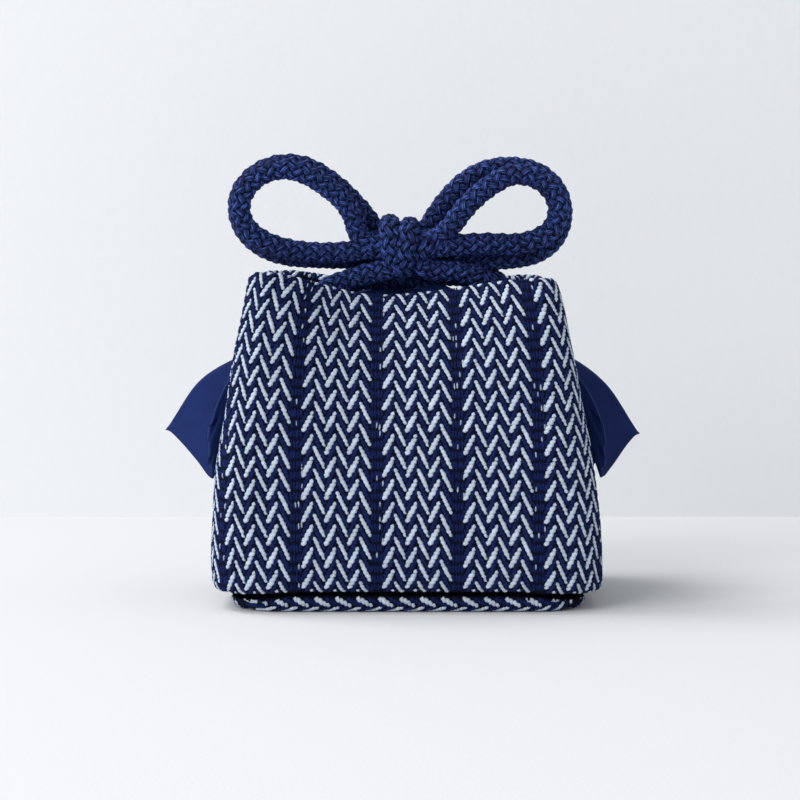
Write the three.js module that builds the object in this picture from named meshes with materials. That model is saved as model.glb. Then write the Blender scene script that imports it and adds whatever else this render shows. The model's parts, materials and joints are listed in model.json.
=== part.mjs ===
// Drawstring pouch: a boxy bag of thick herringbone cloth on a separate base panel, lined with
// pale cloth. A plain navy collar closes its mouth and comes out at both sides as a pointed ear,
// and a doubled braided cord is tied over the mouth in a bow.
//
// Frame: millimetres, +Z up, the origin on the resting face under the middle of the base,
// the front towards -Y and the ears towards -X and +X.
import * as THREE from "three";

// ---------------------------------------------------------------- driving sizes (mm)
const CLOTH = 2.0; // herringbone cloth
const HEM = 3.2; // the same cloth where it is turned in at the top edge
const HEM_DEPTH = 3.6; // how far down the turned edge reaches
const LINING = 1.0;
const NAVY = 1.0; // plain cloth of the collar and ears
const GAP = 0.4; // between sewn pieces
const CORD = 6.2; // braided cord

const WALL_CLOTH = 96.5; // cloth from the base seam up to the top edge, at the corners
const SIDE_DIP = 35; // how much lower the top edge lies at the side seams
const BASE_HEIGHT = 4.9; // the base panel turns up this far to meet the walls
const RIGHT_SLUMP = 1.6; // how much lower the right top corner has sunk
const MOUTH_RING = 1.4; // radius to which the cord has drawn the collar in
const KNOT = { x: -2.5, y: -8, z: 108.1, halfWidth: 5.4, halfDepth: 9.6, halfHeight: 7.4 };

// Each wall is followed from the middle of its panel (0) to the side seam (1): flat up to
// FLAT_END, round the vertical corner up to CORNER_END, then along the side.
const FLAT_END = 0.52;
const CORNER_END = 0.72;

// The body at rising heights of cloth. v: cloth height above the base seam, z: height of the
// corners above that seam, w and d: half the width and depth, lean: how much the right side leans
// in, r: corner radius, front, back and side: how far the drawn cord and the soft sides pull the
// middle in, drop: how far the middle hangs below the corners.
const LEVELS = [
  { v: 0.0, z: 0.0, w: 52.9, d: 38.2, lean: 0.0, r: 15.0, front: 0.0, back: 0.0, side: 0.0, drop: 0.0 },
  { v: 3.0, z: 2.2, w: 56.7, d: 39.9, lean: 0.1, r: 15.0, front: 0.0, back: 0.0, side: 0.0, drop: 0.0 },
  { v: 8.0, z: 6.9, w: 57.5, d: 40.8, lean: 0.5, r: 15.0, front: 0.0, back: 0.0, side: 0.0, drop: 0.0 },
  { v: 16.0, z: 14.9, w: 57.7, d: 41.0, lean: 0.9, r: 14.0, front: 0.0, back: 0.0, side: 0.5, drop: 0.0 },
  { v: 30.0, z: 28.8, w: 56.9, d: 40.6, lean: 1.5, r: 13.0, front: 0.4, back: 0.6, side: 1.2, drop: 0.0 },
  { v: 44.0, z: 42.7, w: 55.2, d: 39.8, lean: 1.9, r: 12.0, front: 1.8, back: 2.4, side: 2.2, drop: 0.2 },
  { v: 58.0, z: 56.5, w: 53.0, d: 38.8, lean: 2.1, r: 11.0, front: 4.6, back: 5.4, side: 3.4, drop: 0.6 },
  { v: 70.0, z: 68.3, w: 51.0, d: 37.8, lean: 2.3, r: 10.0, front: 8.4, back: 9.2, side: 4.4, drop: 1.6 },
  { v: 80.0, z: 78.1, w: 49.1, d: 36.8, lean: 2.5, r: 9.0, front: 12.2, back: 13.0, side: 5.0, drop: 3.0 },
  { v: 88.0, z: 85.9, w: 47.6, d: 36.0, lean: 2.8, r: 8.5, front: 15.8, back: 16.6, side: 5.4, drop: 4.6 },
  { v: 93.5, z: 91.2, w: 46.5, d: 35.2, lean: 3.3, r: 8.0, front: 18.6, back: 19.2, side: 5.4, drop: 5.9 },
  { v: 96.5, z: 93.5, w: 45.3, d: 34.2, lean: 3.6, r: 8.0, front: 20.4, back: 21.0, side: 5.4, drop: 6.8 },
];

// The soft trough that the drawn cord pulls into each panel: where it runs, and how far it
// spreads to the left and right.
const TROUGHS = {
  front: { x: -8, left: 35, right: 56 },
  back: { x: 4, left: 44, right: 38 },
};
const SIDE_SPREAD = 30; // the side's own pull-in, measured along y

// ---------------------------------------------------------------- the body's surface

/** A column of LEVELS at cloth height v, on a smooth curve through the rows. */
function levelAt(column, v) {
  const rows = LEVELS;
  let i = 0;
  while (i < rows.length - 2 && v > rows[i + 1].v) i++;
  const slope = (k) => {
    const a = rows[Math.max(k - 1, 0)];
    const b = rows[Math.min(k + 1, rows.length - 1)];
    return (b[column] - a[column]) / (b.v - a.v);
  };
  const step = rows[i + 1].v - rows[i].v;
  const t = (v - rows[i].v) / step;
  const s = 1 - t;
  return (
    (1 + 2 * t) * s * s * rows[i][column] +
    t * s * s * step * slope(i) +
    t * t * (3 - 2 * t) * rows[i + 1][column] -
    t * t * s * step * slope(i + 1)
  );
}

/** A smooth hump: 1 at q = 0, 0 from |q| = 1 on. */
const hump = (q) => (Math.abs(q) < 1 ? 0.5 * (1 + Math.cos(Math.PI * q)) : 0);

/** A smooth step from 0 at t = 0 to 1 at t = 1. */
const ease = (t) => THREE.MathUtils.smoothstep(t, 0, 1);

/** How strongly a panel's trough acts at x. */
function troughAt(panel, x) {
  const trough = TROUGHS[panel];
  const q = x - trough.x;
  return hump(q / (q < 0 ? trough.left : trough.right));
}

/**
 * A point of the body's outer surface. panel is "front" or "back", f runs from -1 at the left
 * side seam to 1 at the right one, and v is the cloth height above the base seam.
 */
function wallPoint(panel, f, v) {
  const w = levelAt("w", v);
  const d = levelAt("d", v);
  const r = levelAt("r", v);
  const along = Math.abs(f);
  let x, depth;
  if (along < FLAT_END) {
    x = ((w - r) * along) / FLAT_END;
    depth = d;
  } else if (along < CORNER_END) {
    const turn = ((along - FLAT_END) / (CORNER_END - FLAT_END)) * (Math.PI / 2);
    x = w - r + r * Math.sin(turn);
    depth = d - r + r * Math.cos(turn);
  } else {
    x = w;
    depth = (d - r) * (1 - (along - CORNER_END) / (1 - CORNER_END));
  }
  const pull = troughAt(panel, Math.sign(f) * x) * ease(depth / d);
  x -= levelAt("side", v) * hump(depth / SIDE_SPREAD) * ease(x / w);
  if (f > 0) x -= (levelAt("lean", v) * x) / w;
  depth -= levelAt(panel, v) * pull;
  const slump = f > 0 ? RIGHT_SLUMP * ease(x / w) * ease(v / WALL_CLOTH) : 0;
  const z = BASE_HEIGHT + GAP + levelAt("z", v) - levelAt("drop", v) * pull - slump;
  return new THREE.Vector3(Math.sign(f) * x, panel === "front" ? -depth : depth, z);
}

/** The outward normal of the body's outer surface. */
function wallNormal(panel, f, v) {
  const h = 0.01;
  const du = wallPoint(panel, Math.min(f + h, 1), v).sub(wallPoint(panel, Math.max(f - h, -1), v));
  const dv = wallPoint(panel, f, v + h).sub(wallPoint(panel, f, v - h));
  const normal = du.cross(dv).normalize();
  return panel === "front" ? normal : normal.negate();
}

/** The surface moved inwards by a distance. */
function insideWall(panel, f, v, distance) {
  return wallPoint(panel, f, v).addScaledVector(wallNormal(panel, f, v), -distance);
}

/** Cloth height of the top edge: level across the panel, dipping towards the side seams. */
function topEdge(f) {
  return WALL_CLOTH - SIDE_DIP * ease((Math.abs(f) - 0.66) / (1 - 0.66));
}

// ---------------------------------------------------------------- building closed solids

/** Evenly spaced numbers from a to b. */
function spread(a, b, count) {
  return Array.from({ length: count }, (_, i) => a + ((b - a) * i) / (count - 1));
}

/** One closed mesh from a list of points and triangles, turned so that its faces point out. */
function closedMesh(points, triangles) {
  let volume = 0;
  for (const [a, b, c] of triangles) volume += points[a].dot(points[b].clone().cross(points[c]));
  const index = triangles.flatMap(([a, b, c]) => (volume > 0 ? [a, b, c] : [a, c, b]));
  const geometry = new THREE.BufferGeometry().setFromPoints(points);
  geometry.setIndex(index);
  geometry.computeVertexNormals();
  return geometry;
}

/**
 * A sheet with thickness: outer and inner are grids of points, rows of equal length. With ring
 * set, the last point of each row joins the first. Its free edges are closed. Each half of a panel
 * is the mirror image of the other, so the diagonals of its quads are too, and sheets that lie on
 * each other get the same facets.
 */
function sheetSolid(outer, inner, ring = false) {
  const rows = outer.length;
  const columns = outer[0].length;
  const points = [...outer.flat(), ...inner.flat()];
  const at = (skin, row, column) => skin * rows * columns + row * columns + (column % columns);
  const triangles = [];
  const quad = (a, b, c, d) => triangles.push([a, b, c], [a, c, d]);
  const spans = ring ? columns : columns - 1;
  const halves = ring ? 4 : 2;
  for (let i = 0; i < rows - 1; i++) {
    for (let j = 0; j < spans; j++) {
      const pair = (skin, row) => [at(skin, row, j), at(skin, row, j + 1)];
      const corners = (skin) => [...pair(skin, i), ...pair(skin, i + 1).reverse()];
      const [a, b, c, d] = corners(0);
      const [e, f, g, h] = corners(1);
      if (Math.floor((j * halves) / spans) % 2 === 0) {
        quad(a, b, c, d);
        quad(g, f, e, h);
      } else {
        quad(b, c, d, a);
        quad(h, g, f, e);
      }
    }
  }
  const rim = (i, j, k, l) => quad(at(0, i, j), at(0, k, l), at(1, k, l), at(1, i, j));
  for (let j = 0; j < spans; j++) {
    rim(0, j + 1, 0, j);
    rim(rows - 1, j, rows - 1, j + 1);
  }
  if (!ring) {
    for (let i = 0; i < rows - 1; i++) {
      rim(i, 0, i + 1, 0);
      rim(i + 1, columns - 1, i, columns - 1);
    }
  }
  return closedMesh(points, triangles);
}

/** A closed solid of stacked rings of points, with a single point at each end. */
function ringSolid(start, rings, end) {
  const count = rings[0].length;
  const points = [start, ...rings.flat(), end];
  const at = (ring, j) => 1 + ring * count + (j % count);
  const triangles = [];
  for (let j = 0; j < count; j++) {
    triangles.push([0, at(0, j + 1), at(0, j)]);
    for (let i = 0; i < rings.length - 1; i++) {
      triangles.push([at(i, j), at(i, j + 1), at(i + 1, j + 1)]);
      triangles.push([at(i, j), at(i + 1, j + 1), at(i + 1, j)]);
    }
    triangles.push([points.length - 1, at(rings.length - 1, j), at(rings.length - 1, j + 1)]);
  }
  return closedMesh(points, triangles);
}

/** A tube of round section along a route of points. */
function cordTube(route, steps) {
  const section = new THREE.Shape();
  section.absarc(0, 0, CORD / 2, 0, 2 * Math.PI, false);
  return new THREE.ExtrudeGeometry(section, {
    steps,
    curveSegments: 10,
    extrudePath: new THREE.CatmullRomCurve3(route.map((p) => new THREE.Vector3(...p))),
  });
}

// ---------------------------------------------------------------- materials

const finish = (color, roughness) => new THREE.MeshStandardMaterial({ color, roughness, metalness: 0 });
const herringbone = finish(0x4a5878, 0.9);
const paleCotton = finish(0xb9cfe4, 0.85);
const navyCotton = finish(0x1b2a5e, 0.9);
const braidedCord = finish(0x1a2452, 0.85);

const pouch = new THREE.Group();

/** Adds a named piece to the pouch. */
function addPiece(name, geometry, material) {
  const piece = new THREE.Mesh(geometry, material);
  piece.name = name;
  pouch.add(piece);
}

// ---------------------------------------------------------------- front and back panels

/** Positions across a panel, closer together round the corners. */
function panelColumns(seamGap) {
  const half = [...spread(0, FLAT_END, 7), ...spread(FLAT_END, CORNER_END, 5).slice(1)];
  half.push(...spread(CORNER_END, 1 - seamGap, 5).slice(1));
  return [...half.slice(1).reverse().map((f) => -f), ...half];
}

// Rows of a panel below its turned-in edge, as shares of that height, close together at the base.
const BODY_ROWS = [0, 0.012, 0.03, 0.06, 0.11, 0.2, 0.32, 0.45, 0.58, 0.7, 0.81, 0.91, 1];

/** Cloth heights of those rows at f. The lining ends with them. */
const bodyHeights = (f) => BODY_ROWS.map((t) => t * (topEdge(f) - HEM_DEPTH - 1));

// Rows of the turned-in edge. below: how far under the top edge, thick: its thickness there,
// round: how far both faces are drawn in where the fold is rounded off.
const HEM_ROWS = [
  { below: HEM_DEPTH + 0.2, thick: CLOTH, round: 0 },
  { below: HEM_DEPTH, thick: HEM, round: 0 },
  { below: 1.2, thick: HEM, round: 0 },
  { below: 0, thick: HEM, round: HEM / 3 },
];
const SEAM_SHARE = 0.004; // share of a panel's half left free at each side seam

/** One panel: its cloth wraps the vertical corners and is turned in along its top edge. */
function panelSolid(panel) {
  const columns = panelColumns(SEAM_SHARE);
  const skin = (row, depth) => columns.map((f) => insideWall(panel, f, row(f), depth));
  const body = BODY_ROWS.map((_, i) => (f) => bodyHeights(f)[i]);
  const hem = HEM_ROWS.map(({ below }) => (f) => topEdge(f) - below);
  const outer = [
    ...body.map((row) => skin(row, 0)),
    ...hem.map((row, i) => skin(row, HEM_ROWS[i].round)),
  ];
  const inner = [
    ...body.map((row) => skin(row, CLOTH)),
    ...hem.map((row, i) => skin(row, HEM_ROWS[i].thick - HEM_ROWS[i].round)),
  ];
  return sheetSolid(outer, inner);
}

addPiece("front_panel", panelSolid("front"), herringbone);
addPiece("back_panel", panelSolid("back"), herringbone);

// ---------------------------------------------------------------- base panel

const BASE = { halfWidth: 52.2, halfDepth: 37.6, corner: 14.6, turnUp: 2.9 };

/** A rounded rectangle at height z, drawn in by inset from the base's rim. */
function baseOutline(inset, z) {
  const w = BASE.halfWidth - inset;
  const d = BASE.halfDepth - inset;
  const r = BASE.corner - inset;
  const corners = [
    { x: 1, y: -1, from: -0.5 },
    { x: 1, y: 1, from: 0 },
    { x: -1, y: 1, from: 0.5 },
    { x: -1, y: -1, from: 1 },
  ];
  return corners.flatMap((corner) =>
    spread(0, 0.5, 7).map((quarter) => {
      const angle = (corner.from + quarter) * Math.PI;
      const x = corner.x * (w - r) + r * Math.cos(angle);
      return new THREE.Vector3(x, corner.y * (d - r) + r * Math.sin(angle), z);
    })
  );
}

/** The base: flat where it rests, turned up all round to meet the walls. */
function baseSolid() {
  const angles = spread(0, 1.4, 5); // round the turn, from flat to nearly upright
  const turn = (radius, floor) =>
    angles.map((a) =>
      baseOutline(BASE.turnUp - radius * Math.sin(a), floor + radius * (1 - Math.cos(a)))
    );
  const outside = turn(BASE.turnUp, 0);
  const inside = turn(BASE.turnUp - CLOTH, CLOTH);
  const edge = 0.1; // the rim is drawn in by this much on both faces
  const rim = [baseOutline(edge, BASE_HEIGHT), baseOutline(CLOTH - edge, BASE_HEIGHT)];
  const middle = (z) => new THREE.Vector3(0, 0, z);
  return ringSolid(middle(0), [...outside, ...rim, ...inside.reverse()], middle(CLOTH));
}

addPiece("base_panel", baseSolid(), herringbone);

// ---------------------------------------------------------------- lining

/** The panel and place across it of each column round the pouch, from the left seam by the front. */
const AROUND = [
  ...panelColumns(0).slice(0, -1).map((f) => ({ panel: "front", f })),
  ...panelColumns(0).slice(1).reverse().map((f) => ({ panel: "back", f })),
];

/** The pale lining: a thin tube just inside the panels, up to just under their turned-in edge. */
function liningSolid() {
  const skin = (distance) =>
    BODY_ROWS.map((_, row) =>
      AROUND.map(({ panel, f }) => insideWall(panel, f, bodyHeights(f)[row], distance))
    );
  return sheetSolid(skin(CLOTH + GAP), skin(CLOTH + GAP + LINING), true);
}

addPiece("lining", liningSolid(), paleCotton);

// ---------------------------------------------------------------- navy collar

// sewnBelow: how far under the top edge the collar is sewn on, lowest: but never below this cloth
// height, peak: height of its drawn-in middle, puff: how far it stands up round the middle.
const COLLAR = { sewnBelow: 18, lowest: 70, peak: 93.4, puff: 1.4, pleats: 10, pleatHeight: 0.9 };

/**
 * The collar closes the mouth like a low tent. It is sewn to the lining below the top edge, and
 * the cord has drawn its middle in almost shut, so that pleats run in from all sides.
 */
function collarSolid() {
  const skin = (offset) =>
    spread(0, 1, 8).map((t) =>
      AROUND.map(({ panel, f }) => {
        const height = Math.max(topEdge(f) - COLLAR.sewnBelow, COLLAR.lowest);
        const rim = insideWall(panel, f, height, CLOTH + LINING + 3 * GAP);
        const angle = Math.atan2(rim.y, rim.x);
        const x = MOUTH_RING * Math.cos(angle);
        const y = MOUTH_RING * Math.sin(angle);
        const point = rim.clone().lerp(new THREE.Vector3(x, y, COLLAR.peak), t);
        const pleat = COLLAR.pleatHeight * Math.sin(COLLAR.pleats * angle) * t;
        point.z += COLLAR.puff * Math.sin(Math.PI * t * t) + pleat - offset;
        return point;
      })
    );
  return sheetSolid(skin(0), skin(NAVY), true);
}

addPiece("collar", collarSolid(), navyCotton);

// ---------------------------------------------------------------- ears

// Each ear is a corner of navy cloth that comes out over the dip at the side seam and hangs down
// and out. x is measured outwards. tip: its point, hem: the lower corner of its front edge, swell:
// how far its ridge is arched, lean: how far in its neck lies, like the wall there.
const EARS = [
  { name: "ear_left", side: -1, tip: [72.8, 0, 50.8], hem: [57.8, 20, 37.6], swell: 2.0, lean: -0.5 },
  { name: "ear_right", side: 1, tip: [69.6, 0, 49.6], hem: [57.0, 20, 38.0], swell: 1.6, lean: 1.7 },
];
// The narrow start of an ear. inner and outer: x inside the mouth and over the dip, inside and
// over: its heights there, width: half its width.
const NECK = { inner: 43.3, outer: 50.5, inside: 74.6, over: 71.6, width: 6 };
const EAR_SHOULDER = [57.4, 13.5, 56]; // where its front edge turns down beside the bag
const EAR_VALLEY = 1.6; // depth of the soft valley between ridge and edge

function earSolid(ear) {
  const at = (x, y, z) => new THREE.Vector3(x, y, z);
  const tip = at(...ear.tip);
  const hem = at(...ear.hem);
  const inner = NECK.inner - ear.lean;
  const outer = NECK.outer - ear.lean;
  const halfWay = at(outer, 0, NECK.over).lerp(tip, 0.47).add(at(ear.swell, 0, ear.swell + 0.9));
  // the ridge, from inside the mouth over the dip to the tip
  const ridge = new THREE.CatmullRomCurve3([
    at(inner, 0, NECK.inside),
    at(outer, 0, NECK.over + 0.5),
    halfWay,
    at(tip.x, 0.4, tip.z),
  ]);
  // the front edge, from inside the mouth down the side to the corner, then along the hem
  const edge = new THREE.CatmullRomCurve3([
    at(inner, NECK.width, NECK.inside - 1.5),
    at(outer - 0.5, NECK.width, NECK.over - 1.5),
    at(...EAR_SHOULDER).sub(at(0.5 * ear.lean, 0, 0)),
    hem.clone().add(at(0.8, -1.5, 7)),
    hem,
    hem.clone().lerp(tip, 0.35),
    hem.clone().lerp(tip, 0.7),
    at(tip.x, 0.9, tip.z),
  ]);
  const rows = spread(0, 1, 19);
  const across = spread(-1, 1, 9);
  const surface = rows.map((p) =>
    across.map((q) => {
      const point = ridge.getPoint(p).lerp(edge.getPoint(p), Math.abs(q));
      const fall = EAR_VALLEY * Math.sin(Math.PI * Math.abs(q)) * Math.sin(Math.PI * p);
      return at(ear.side * (point.x - fall), Math.sign(q) * point.y, point.z - 0.4 * fall);
    })
  );
  const under = surface.map((row, i) =>
    row.map((point, j) => {
      const next = surface[Math.min(i + 1, rows.length - 1)][j];
      const last = surface[Math.max(i - 1, 0)][j];
      const left = row[Math.max(j - 1, 0)];
      const right = row[Math.min(j + 1, across.length - 1)];
      const normal = next.clone().sub(last).cross(right.clone().sub(left)).normalize();
      if (normal.z + 0.5 * ear.side * normal.x < 0) normal.negate();
      return point.clone().addScaledVector(normal, -NAVY);
    })
  );
  return sheetSolid(surface, under);
}

for (const ear of EARS) addPiece(ear.name, earSolid(ear), navyCotton);

// ---------------------------------------------------------------- cord

// The routes of the cord's middle line, chosen by hand. Each loop of the bow is a doubled cord.
const ROUTES = {
  loop_left_front: [
    [-9.6, -11.4, 111.0], [-13.8, -12.0, 112.2], [-17.2, -12.6, 115.6], [-21.8, -12.8, 120.2],
    [-28.4, -13.0, 125.2], [-36.8, -13.0, 128.1], [-44.2, -12.8, 126.1], [-49.0, -12.4, 120.5],
    [-49.6, -12.0, 114.9], [-47.4, -11.8, 110.5], [-42.4, -11.6, 106.8], [-35.4, -11.4, 104.5],
    [-27.0, -11.4, 103.5], [-19.2, -11.4, 103.7], [-13.0, -11.4, 104.5], [-8.9, -11.4, 104.7],
  ],
  loop_left_back: [
    [-10.2, -4.8, 111.1], [-13.6, -4.8, 115.5], [-22.0, -5.6, 123.9], [-31.0, -6.4, 129.1],
    [-38.6, -6.6, 129.5], [-45.6, -6.4, 126.5], [-50.0, -6.0, 120.9], [-50.4, -5.6, 114.5],
    [-48.0, -5.2, 109.3], [-42.6, -5.0, 104.9], [-35.6, -4.8, 102.7], [-27.0, -4.8, 102.1],
    [-19.2, -4.8, 102.6], [-13.0, -4.8, 103.9], [-8.9, -4.8, 104.8],
  ],
  loop_right_front: [
    [3.8, -11.4, 111.3], [8.4, -12.0, 111.7], [12.8, -13.0, 113.3], [16.0, -13.4, 116.3],
    [19.6, -13.6, 119.8], [24.4, -13.6, 123.4], [30.8, -13.6, 126.5], [37.8, -13.6, 125.5],
    [42.6, -13.2, 121.5], [44.4, -12.8, 116.3], [42.6, -12.4, 110.7], [37.9, -12.0, 107.5],
    [31.6, -11.8, 106.1], [23.8, -11.6, 106.3], [14.6, -11.4, 105.9], [8.0, -11.4, 105.1],
    [3.8, -11.4, 104.8],
  ],
  loop_right_back: [
    [4.9, -4.8, 111.3], [7.2, -5.0, 113.7], [11.2, -5.4, 118.7], [16.4, -6.0, 124.1],
    [22.6, -6.4, 127.7], [30.8, -6.6, 128.9], [38.8, -6.6, 127.0], [43.8, -6.4, 122.5],
    [45.8, -6.0, 117.1], [45.4, -5.6, 111.5], [42.8, -5.2, 106.7], [38.2, -5.0, 103.5],
    [31.0, -4.8, 101.9], [23.4, -4.8, 102.0], [14.6, -4.8, 103.3], [8.0, -4.8, 104.4],
    [4.3, -4.8, 104.9],
  ],
  lead_left_front: [
    [-5.4, -9.8, 98.1], [-12.0, -9.8, 96.5], [-17.6, -9.6, 95.2], [-23.4, -9.0, 93.0], [-28.6, -8.0, 87.2],
  ],
  lead_left_back: [
    [-5.4, -3.2, 98.1], [-12.0, -3.0, 96.7], [-17.6, -2.6, 95.3], [-23.6, -2.0, 93.1], [-28.8, -1.2, 86.5],
  ],
  lead_right_front: [
    [1.6, -9.8, 97.9], [8.0, -9.8, 97.3], [14.6, -9.6, 96.5], [21.4, -9.0, 94.9], [27.6, -8.0, 87.0],
  ],
  lead_right_back: [
    [1.6, -3.2, 97.6], [8.0, -3.0, 97.1], [15.0, -2.6, 96.1], [22.6, -2.0, 93.9], [28.4, -1.2, 86.4],
  ],
};

for (const [name, route] of Object.entries(ROUTES)) {
  addPiece(name, cordTube(route, name.startsWith("loop") ? 17 : 4), braidedCord);
}

/** The tied middle of the bow: the wrapped cord pulled tight, as one rounded lump. */
function knotSolid() {
  const soft = (value) => Math.sign(value) * Math.pow(Math.abs(value), 0.55);
  const point = (across, around) =>
    new THREE.Vector3(
      KNOT.x + KNOT.halfWidth * soft(-Math.cos(across)),
      KNOT.y + KNOT.halfDepth * soft(Math.sin(across)) * soft(Math.cos(around)),
      KNOT.z + KNOT.halfHeight * soft(Math.sin(across)) * soft(Math.sin(around))
    );
  const rings = spread(0, Math.PI, 10).slice(1, -1).map((across) =>
    spread(0, 2 * Math.PI, 25).slice(0, -1).map((around) => point(across, around))
  );
  return ringSolid(point(0, 0), rings, point(Math.PI, 0));
}

addPiece("bow_knot", knotSolid(), braidedCord);

export default pouch;
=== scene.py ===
# %% [markdown]
# # A drawstring pouch in thick herringbone cloth
#
# The pouch is a small boxy bag. Two panels of heavy indigo and white cloth wrap its corners and
# stand on a base panel of the same cloth. It is lined in pale cotton. A plain navy collar closes
# the mouth and hangs out at both sides as a pointed ear, and a doubled braided cord is tied over
# it in a bow.
#
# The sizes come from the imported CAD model, which is loaded first and stays where it is.

# %% Load the frame
import json
import math

import bmesh
import bpy
import numpy as np
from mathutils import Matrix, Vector

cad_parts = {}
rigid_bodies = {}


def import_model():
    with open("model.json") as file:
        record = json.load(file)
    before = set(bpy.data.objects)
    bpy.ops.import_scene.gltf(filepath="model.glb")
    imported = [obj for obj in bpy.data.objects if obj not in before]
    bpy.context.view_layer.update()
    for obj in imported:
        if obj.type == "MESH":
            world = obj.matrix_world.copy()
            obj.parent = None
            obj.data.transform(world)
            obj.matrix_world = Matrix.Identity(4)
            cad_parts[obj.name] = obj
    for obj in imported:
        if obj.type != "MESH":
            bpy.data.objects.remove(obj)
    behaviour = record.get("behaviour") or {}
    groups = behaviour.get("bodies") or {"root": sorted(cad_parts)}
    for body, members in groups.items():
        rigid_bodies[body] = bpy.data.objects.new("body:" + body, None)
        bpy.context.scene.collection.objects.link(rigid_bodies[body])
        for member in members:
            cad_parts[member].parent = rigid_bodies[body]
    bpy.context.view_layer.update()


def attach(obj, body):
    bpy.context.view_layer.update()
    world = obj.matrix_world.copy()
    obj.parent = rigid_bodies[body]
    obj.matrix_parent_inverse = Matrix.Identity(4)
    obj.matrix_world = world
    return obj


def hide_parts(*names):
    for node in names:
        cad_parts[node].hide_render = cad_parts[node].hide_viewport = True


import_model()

MM = 0.001

# %% [markdown]
# ## Camera
#
# A product picture of a small object is taken from a little way off with a long lens, which keeps
# the upright edges nearly parallel. The camera stands level with the bow and looks slightly down,
# so the far edge of the mouth stays hidden and a strip of the resting surface shows.

# %% Camera
CAMERA_DISTANCE = 690 * MM
CAMERA_HEIGHT = 104.5 * MM
CAMERA_OFFSET = -2.4 * MM
LENS = 102.8  # millimetres, on a sensor 36 mm wide
LOOK_DOWN = math.radians(3.77)

camera_data = bpy.data.cameras.new("camera")
camera_data.lens = LENS
camera_data.sensor_width = 36
camera = bpy.data.objects.new("camera", camera_data)
camera.location = (CAMERA_OFFSET, -CAMERA_DISTANCE, CAMERA_HEIGHT)
camera.rotation_euler = (math.pi / 2 - LOOK_DOWN, 0, 0)
bpy.context.collection.objects.link(camera)
bpy.context.scene.camera = camera
print("camera", round(CAMERA_DISTANCE / MM), "mm away, lens", LENS, "mm")

# %% [markdown]
# ## Small helpers for node trees
#
# Both Geometry Nodes and materials are trees of nodes. Writing them in a script is mostly adding
# a node, setting its options and plugging its inputs. One short function does all three, and a
# second one writes a sum or product on one line.

# %% Node helpers
def add_node(tree, kind, inputs=None, **options):
    """Adds a node. inputs maps a socket's name or number to a value or to the socket it takes."""
    node = tree.nodes.new(kind)
    for option, value in options.items():
        setattr(node, option, value)
    for key, value in (inputs or {}).items():
        if isinstance(value, bpy.types.NodeSocket):
            tree.links.new(value, node.inputs[key])
        else:
            node.inputs[key].default_value = value
    return node


def calc(tree, operation, *values):
    """The result of a Math node."""
    return add_node(tree, "ShaderNodeMath", dict(enumerate(values)), operation=operation).outputs[0]


def vector_calc(tree, operation, *values, scale=None):
    """The result of a Vector Math node."""
    inputs = dict(enumerate(values))
    if scale is not None:
        inputs["Scale"] = scale
    return add_node(tree, "ShaderNodeVectorMath", inputs, operation=operation).outputs[0]


def uv_parts(tree):
    """Across and along in the piece's UV map, in a material."""
    uv = add_node(tree, "ShaderNodeTexCoord").outputs["UV"]
    return add_node(tree, "ShaderNodeSeparateXYZ", {0: uv}).outputs


def mix_colour(tree, factor, colour, other, blend="MIX"):
    """The result of a Mix node. It has sockets for each data type; 6, 7 and 2 are the colours."""
    node = add_node(tree, "ShaderNodeMix", {0: factor, 6: colour, 7: other},
                    data_type="RGBA", blend_type=blend)
    return node.outputs[2]


def new_tree(name, kind, inputs, outputs):
    """A node tree with named sockets, and its input and output nodes."""
    tree = bpy.data.node_groups.new(name, kind)
    for in_out, sockets in (("INPUT", inputs), ("OUTPUT", outputs)):
        for socket, (socket_type, default) in sockets.items():
            made = tree.interface.new_socket(socket, in_out=in_out, socket_type=socket_type)
            if default is not None:
                made.default_value = default
    return tree, tree.nodes.new("NodeGroupInput").outputs, tree.nodes.new("NodeGroupOutput").inputs


# %% [markdown]
# ## Helpers for Geometry Nodes
#
# A Geometry Nodes tree passes a geometry from node to node. On its way it can carry values under
# a name, such as how far a strand is lifted, which later nodes and materials read again. Every
# tree in this file ends in the same three nodes. The result is then turned into a plain mesh, so
# that nothing depends on the modifier any more.

# %% Geometry Nodes helpers
def named(tree, label, data_type="FLOAT"):
    """A value that the geometry carries under a name, in a Geometry Nodes tree."""
    return add_node(tree, "GeometryNodeInputNamedAttribute", {"Name": label},
                    data_type=data_type).outputs["Attribute"]


def store(tree, geometry, label, value, data_type="FLOAT", domain="POINT"):
    """The geometry with a value stored on it under a name."""
    return add_node(tree, "GeometryNodeStoreNamedAttribute", {
        "Geometry": geometry, "Name": label, "Value": value},
        data_type=data_type, domain=domain).outputs[0]


def finished(tree, geometry, material):
    """The geometry shaded smooth, made real and given its material: the end of every tree here."""
    geometry = add_node(tree, "GeometryNodeSetShadeSmooth", {"Geometry": geometry}).outputs[0]
    geometry = add_node(tree, "GeometryNodeRealizeInstances", {"Geometry": geometry}).outputs[0]
    return add_node(tree, "GeometryNodeSetMaterial", {
        "Geometry": geometry, "Material": material}).outputs[0]


def run_tree(source, tree, name, **values):
    """Runs a Geometry Nodes tree on an object, and returns the result as a plain mesh object."""
    modifier = source.modifiers.new(tree.name, "NODES")
    modifier.node_group = tree
    for item in tree.interface.items_tree:
        key = item.name.lower().replace(" ", "_")
        if item.in_out == "INPUT" and key in values:
            modifier[item.identifier] = values[key]
    source.update_tag()
    depsgraph = bpy.context.evaluated_depsgraph_get()
    depsgraph.update()
    mesh = bpy.data.meshes.new_from_object(source.evaluated_get(depsgraph), depsgraph=depsgraph)
    source.modifiers.remove(modifier)
    bpy.data.objects.remove(source)
    piece = bpy.data.objects.new(name, mesh)
    bpy.context.collection.objects.link(piece)
    return piece


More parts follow.
